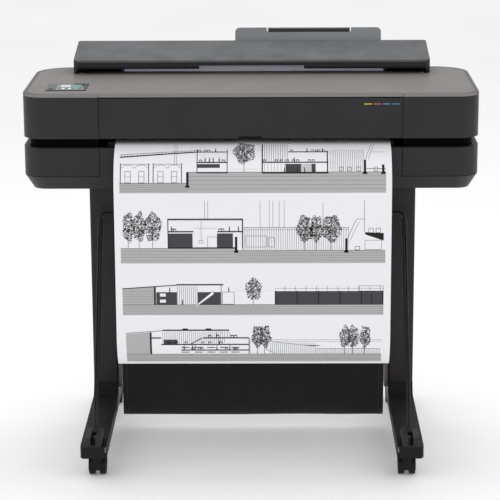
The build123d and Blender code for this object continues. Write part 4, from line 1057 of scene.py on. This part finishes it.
points, flat_points = [], []
for row, ((y, z), down) in enumerate(zip(profile, along)):
    free = HELD_ROWS <= row < len(profile) - HELD_ROWS
    for column in range(ACROSS_STEPS + 1):
        x = -CLOTH_HALF + 2 * CLOTH_HALF * column / ACROSS_STEPS
        push = 0.0
        if free:
            away = math.sin(math.pi * (down - along[HELD_ROWS]) / (along[-HELD_ROWS] - along[HELD_ROWS]))
            push = 1.6 * away * sum(
                math.sin(x * k / 90 + phases[k - 1] + down * (k - 3) / 400) / k for k in range(1, 6)
            )
        points.append(Vector((x, y + push, z)) * MM)
        flat_points.append(((x + CLOTH_HALF) * MM, down * MM))
faces = []
for row in range(len(profile) - 1):
    for column in range(ACROSS_STEPS):
        a = row * (ACROSS_STEPS + 1) + column
        faces.append((a, a + 1, a + ACROSS_STEPS + 2, a + ACROSS_STEPS + 1))
bag = new_piece("bin_bag", points, [], faces)
layer = bag.data.uv_layers.new(name="flat_cloth")
for loop in bag.data.loops:
    layer.data[loop.index].uv = flat_points[loop.vertex_index]


# %% [markdown]
# ### Let it hang
#
# The rows in the two sleeves are pinned. The cloth is a medium polyester: it bends easily and hardly
# stretches. A few dozen frames are enough for the loop to come to rest.

# %% Let it hang
HANG_FRAMES = 36


def hang(piece):
    """Runs the cloth under its own weight and keeps the shape it comes to."""
    held = piece.vertex_groups.new(name="held")
    per_row = ACROSS_STEPS + 1
    rows = len(piece.data.vertices) // per_row
    in_sleeves = [
        row * per_row + column
        for row in range(rows)
        if row < HELD_ROWS or row >= rows - HELD_ROWS
        for column in range(per_row)
    ]
    held.add(in_sleeves, 1.0, "REPLACE")
    cloth = piece.modifiers.new("hang", "CLOTH")
    settings = cloth.settings
    settings.vertex_group_mass = "held"
    settings.quality = 6
    settings.mass = 0.2
    settings.tension_stiffness = settings.compression_stiffness = 40
    settings.shear_stiffness = 20
    settings.bending_stiffness = 0.6
    settings.air_damping = 2
    cloth.collision_settings.use_collision = False
    cloth.point_cache.frame_start, cloth.point_cache.frame_end = 1, HANG_FRAMES
    for number in range(1, HANG_FRAMES + 1):
        scene.frame_set(number)
    shown = piece.evaluated_get(bpy.context.evaluated_depsgraph_get())
    hung = [v.co.copy() for v in shown.data.vertices]
    piece.modifiers.remove(cloth)
    scene.frame_set(1)
    for vertex, place in zip(piece.data.vertices, hung):
        vertex.co = place
    piece.data.update()


hang(bag)
lowest = min(v.co.z for v in bag.data.vertices) / MM
print(f"the loop hangs to {lowest:.0f} mm above the floor")

# %% [markdown]
# ### Seams
#
# The edges are turned in and sewn, and a row of stitches closes each sleeve. The stitches are
# small rods set along lines on the cloth with Geometry Nodes: one line of points becomes
# hundreds of stitches, all realised into one plain mesh.


# %% Seams
def stitch_tree():
    """Geometry nodes: a curve becomes evenly spaced stitches that lie along it."""
    tree = bpy.data.node_groups.new("stitches_along_seam", "GeometryNodeTree")
    panel = tree.interface
    sizes = {"Spacing": "Float", "Stitch Length": "Float", "Thread Radius": "Float"}
    for name, kind in {"Seam": "Geometry", **sizes, "Thread": "Material"}.items():
        panel.new_socket(name, in_out="INPUT", socket_type=f"NodeSocket{kind}")
    panel.new_socket("Stitches", in_out="OUTPUT", socket_type="NodeSocketGeometry")
    inputs = add_node(tree, "NodeGroupInput")
    line = add_node(tree, "GeometryNodeMeshToCurve", Mesh=inputs.outputs["Seam"])
    spots = add_node(tree, "GeometryNodeCurveToPoints", {"mode": "LENGTH"})
    tree.links.new(line.outputs[0], spots.inputs["Curve"])
    tree.links.new(inputs.outputs["Spacing"], spots.inputs["Length"])
    stitch = add_node(tree, "GeometryNodeMeshCylinder")
    stitch.inputs["Vertices"].default_value = 6
    tree.links.new(inputs.outputs["Thread Radius"], stitch.inputs["Radius"])
    tree.links.new(inputs.outputs["Stitch Length"], stitch.inputs["Depth"])
    turned = add_node(
        tree, "FunctionNodeAlignRotationToVector", {"axis": "Z"}, Vector=spots.outputs["Tangent"]
    )
    placed = add_node(
        tree,
        "GeometryNodeInstanceOnPoints",
        Points=spots.outputs["Points"],
        Instance=stitch.outputs["Mesh"],
        Rotation=turned.outputs[0],
    )
    whole = add_node(tree, "GeometryNodeRealizeInstances", Geometry=placed.outputs[0])
    painted = add_node(
        tree, "GeometryNodeSetMaterial", Geometry=whole.outputs[0], Material=inputs.outputs["Thread"]
    )
    outputs = add_node(tree, "NodeGroupOutput")
    tree.links.new(painted.outputs[0], outputs.inputs["Stitches"])
    return tree


def seam_lines(piece, inset_columns, sleeve_rows, proud_mm):
    """The seams as loose edges that stand a hair off both faces of the cloth."""
    per_row = ACROSS_STEPS + 1
    rows = len(piece.data.vertices) // per_row
    places = [v.co.copy() for v in piece.data.vertices]
    normals = [v.normal.copy() for v in piece.data.vertices]
    paths = [[row * per_row + column for row in range(6, rows - 4)] for column in inset_columns]
    paths += [[row * per_row + column for column in range(per_row)] for row in sleeve_rows]
    points, edges = [], []
    for path in paths:
        for face in (-1, 1):
            first = len(points)
            points += [places[i] + normals[i] * face * proud_mm * MM for i in path]
            edges += [(first + i, first + i + 1) for i in range(len(path) - 1)]
    return new_piece("bag_seams", points, edges, [])


CLOTH_THICK = 0.8
thread = moulded_plastic("polyester_thread_grey", "#4a4b4e", 0.7, 0.3, 0.02)
hem_columns = (1, ACROSS_STEPS - 1)
sleeve_rows = (HELD_ROWS + 1, len(profile) - HELD_ROWS - 2)
seams = seam_lines(bag, hem_columns, sleeve_rows, CLOTH_THICK / 2 + 0.1)
worker = seams.modifiers.new("stitches", "NODES")
tree = stitch_tree()
worker.node_group = tree
chosen = {"Spacing": 5.0 * MM, "Stitch Length": 3.6 * MM, "Thread Radius": 0.35 * MM, "Thread": thread}
for item in tree.interface.items_tree:
    if item.name in chosen and item.in_out == "INPUT":
        worker[item.identifier] = chosen[item.name]
bpy.context.view_layer.update()
shown = seams.evaluated_get(bpy.context.evaluated_depsgraph_get())
stitched = bpy.data.meshes.new_from_object(shown)
seams.modifiers.clear()
stitches = bpy.data.objects.new("bag_stitches", stitched)
scene.collection.objects.link(stitches)
bpy.data.objects.remove(seams)
print(f"{len(stitched.polygons)} faces of stitches")

# %% [markdown]
# ### Thickness
#
# The cloth gets its real thickness and smooth faces, and the bin's fabric from the frame is hidden.


# %% Thickness
def thicken(piece, thickness_mm):
    """Gives a single layer of cloth its thickness, as a finished mesh."""
    solid = piece.modifiers.new("thickness", "SOLIDIFY")
    solid.thickness = thickness_mm * MM
    solid.offset = 0.0
    bpy.context.view_layer.update()
    shown = piece.evaluated_get(bpy.context.evaluated_depsgraph_get())
    made = bpy.data.meshes.new_from_object(shown)
    piece.modifiers.clear()
    piece.data = made


thicken(bag, CLOTH_THICK)
bag.data.polygons.foreach_set("use_smooth", [True] * len(bag.data.polygons))
bag.data.materials.append(finishes["bin_cloth"])
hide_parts("bin_fabric")
for piece in (bag, stitches):
    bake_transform(piece)
print("the bin is hung")

# %% [markdown]
# ## Floor, light and camera
#
# A pale studio floor that runs into a pale room, one large soft light over the front, one at each
# side to draw the edges of the dark casing, and a long lens a few metres away, a little above the
# top of the machine.


# %% Floor, light and camera
FLOOR_GLOW, ROOM_GLOW = 0.14, 0.82


def matt_floor():
    material, tree, surface, place = new_finish("studio_floor_white")
    clouds = noise(tree, place, 900, 2.0)
    tone = mixed(tree, between(tree, clouds, 0.0, 1.0), linear("#f4f4f4"), linear("#f8f8f8"))
    tree.links.new(tone, surface.inputs["Base Color"])
    surface.inputs["Roughness"].default_value = 0.85
    surface.inputs["Emission Color"].default_value = linear("#ffffff")
    surface.inputs["Emission Strength"].default_value = FLOOR_GLOW
    return material


def area_light(name, place, aim, wide, high, watts):
    data = bpy.data.lights.new(name, "AREA")
    data.shape = "RECTANGLE"
    data.size, data.size_y = wide, high
    data.energy = watts
    lamp = bpy.data.objects.new(name, data)
    lamp.location = place
    lamp.rotation_euler = (Vector(aim) - Vector(place)).to_track_quat("-Z", "Y").to_euler()
    scene.collection.objects.link(lamp)


bpy.ops.mesh.primitive_plane_add(size=40, location=(0, 0, 0))
floor = bpy.context.object
floor.name = "studio_floor"
floor.data.materials.append(matt_floor())

world = bpy.data.worlds.new("studio_room")
world.use_nodes = True
background = world.node_tree.nodes["Background"]
background.inputs[0].default_value = linear("#ffffff")
background.inputs[1].default_value = ROOM_GLOW
scene.world = world
area_light("softbox_front", (0.2, -3.2, 2.4), (0, -0.1, 0.6), 3.0, 1.6, 6)
area_light("softbox_left", (-2.6, -1.4, 1.5), (0, 0, 0.6), 0.6, 2.2, 6)
area_light("softbox_right", (2.6, -1.4, 1.5), (0, 0, 0.6), 0.6, 2.2, 6)
area_light("softbox_above", (0, 0.6, 3.2), (0, 0, 0.8), 3.0, 2.0, 25)

LENS_MM, SENSOR_MM = 145.45, 36.0
CAMERA_PLACE = (0.0455, -4.6178, 1.6351)
TILT_DOWN, TURN, ROLL = 0.2486, 0.0110, -0.0048
lens = bpy.data.cameras.new("studio_camera")
lens.lens, lens.sensor_width = LENS_MM, SENSOR_MM
camera = bpy.data.objects.new("studio_camera", lens)
turned = Euler((math.pi / 2 - TILT_DOWN, 0, TURN)).to_matrix().to_4x4() @ Matrix.Rotation(ROLL, 4, "Z")
camera.matrix_world = Matrix.Translation(CAMERA_PLACE) @ turned
scene.collection.objects.link(camera)
scene.camera = camera
scene.view_settings.view_transform = "Standard"
print("floor, lights and camera are set")
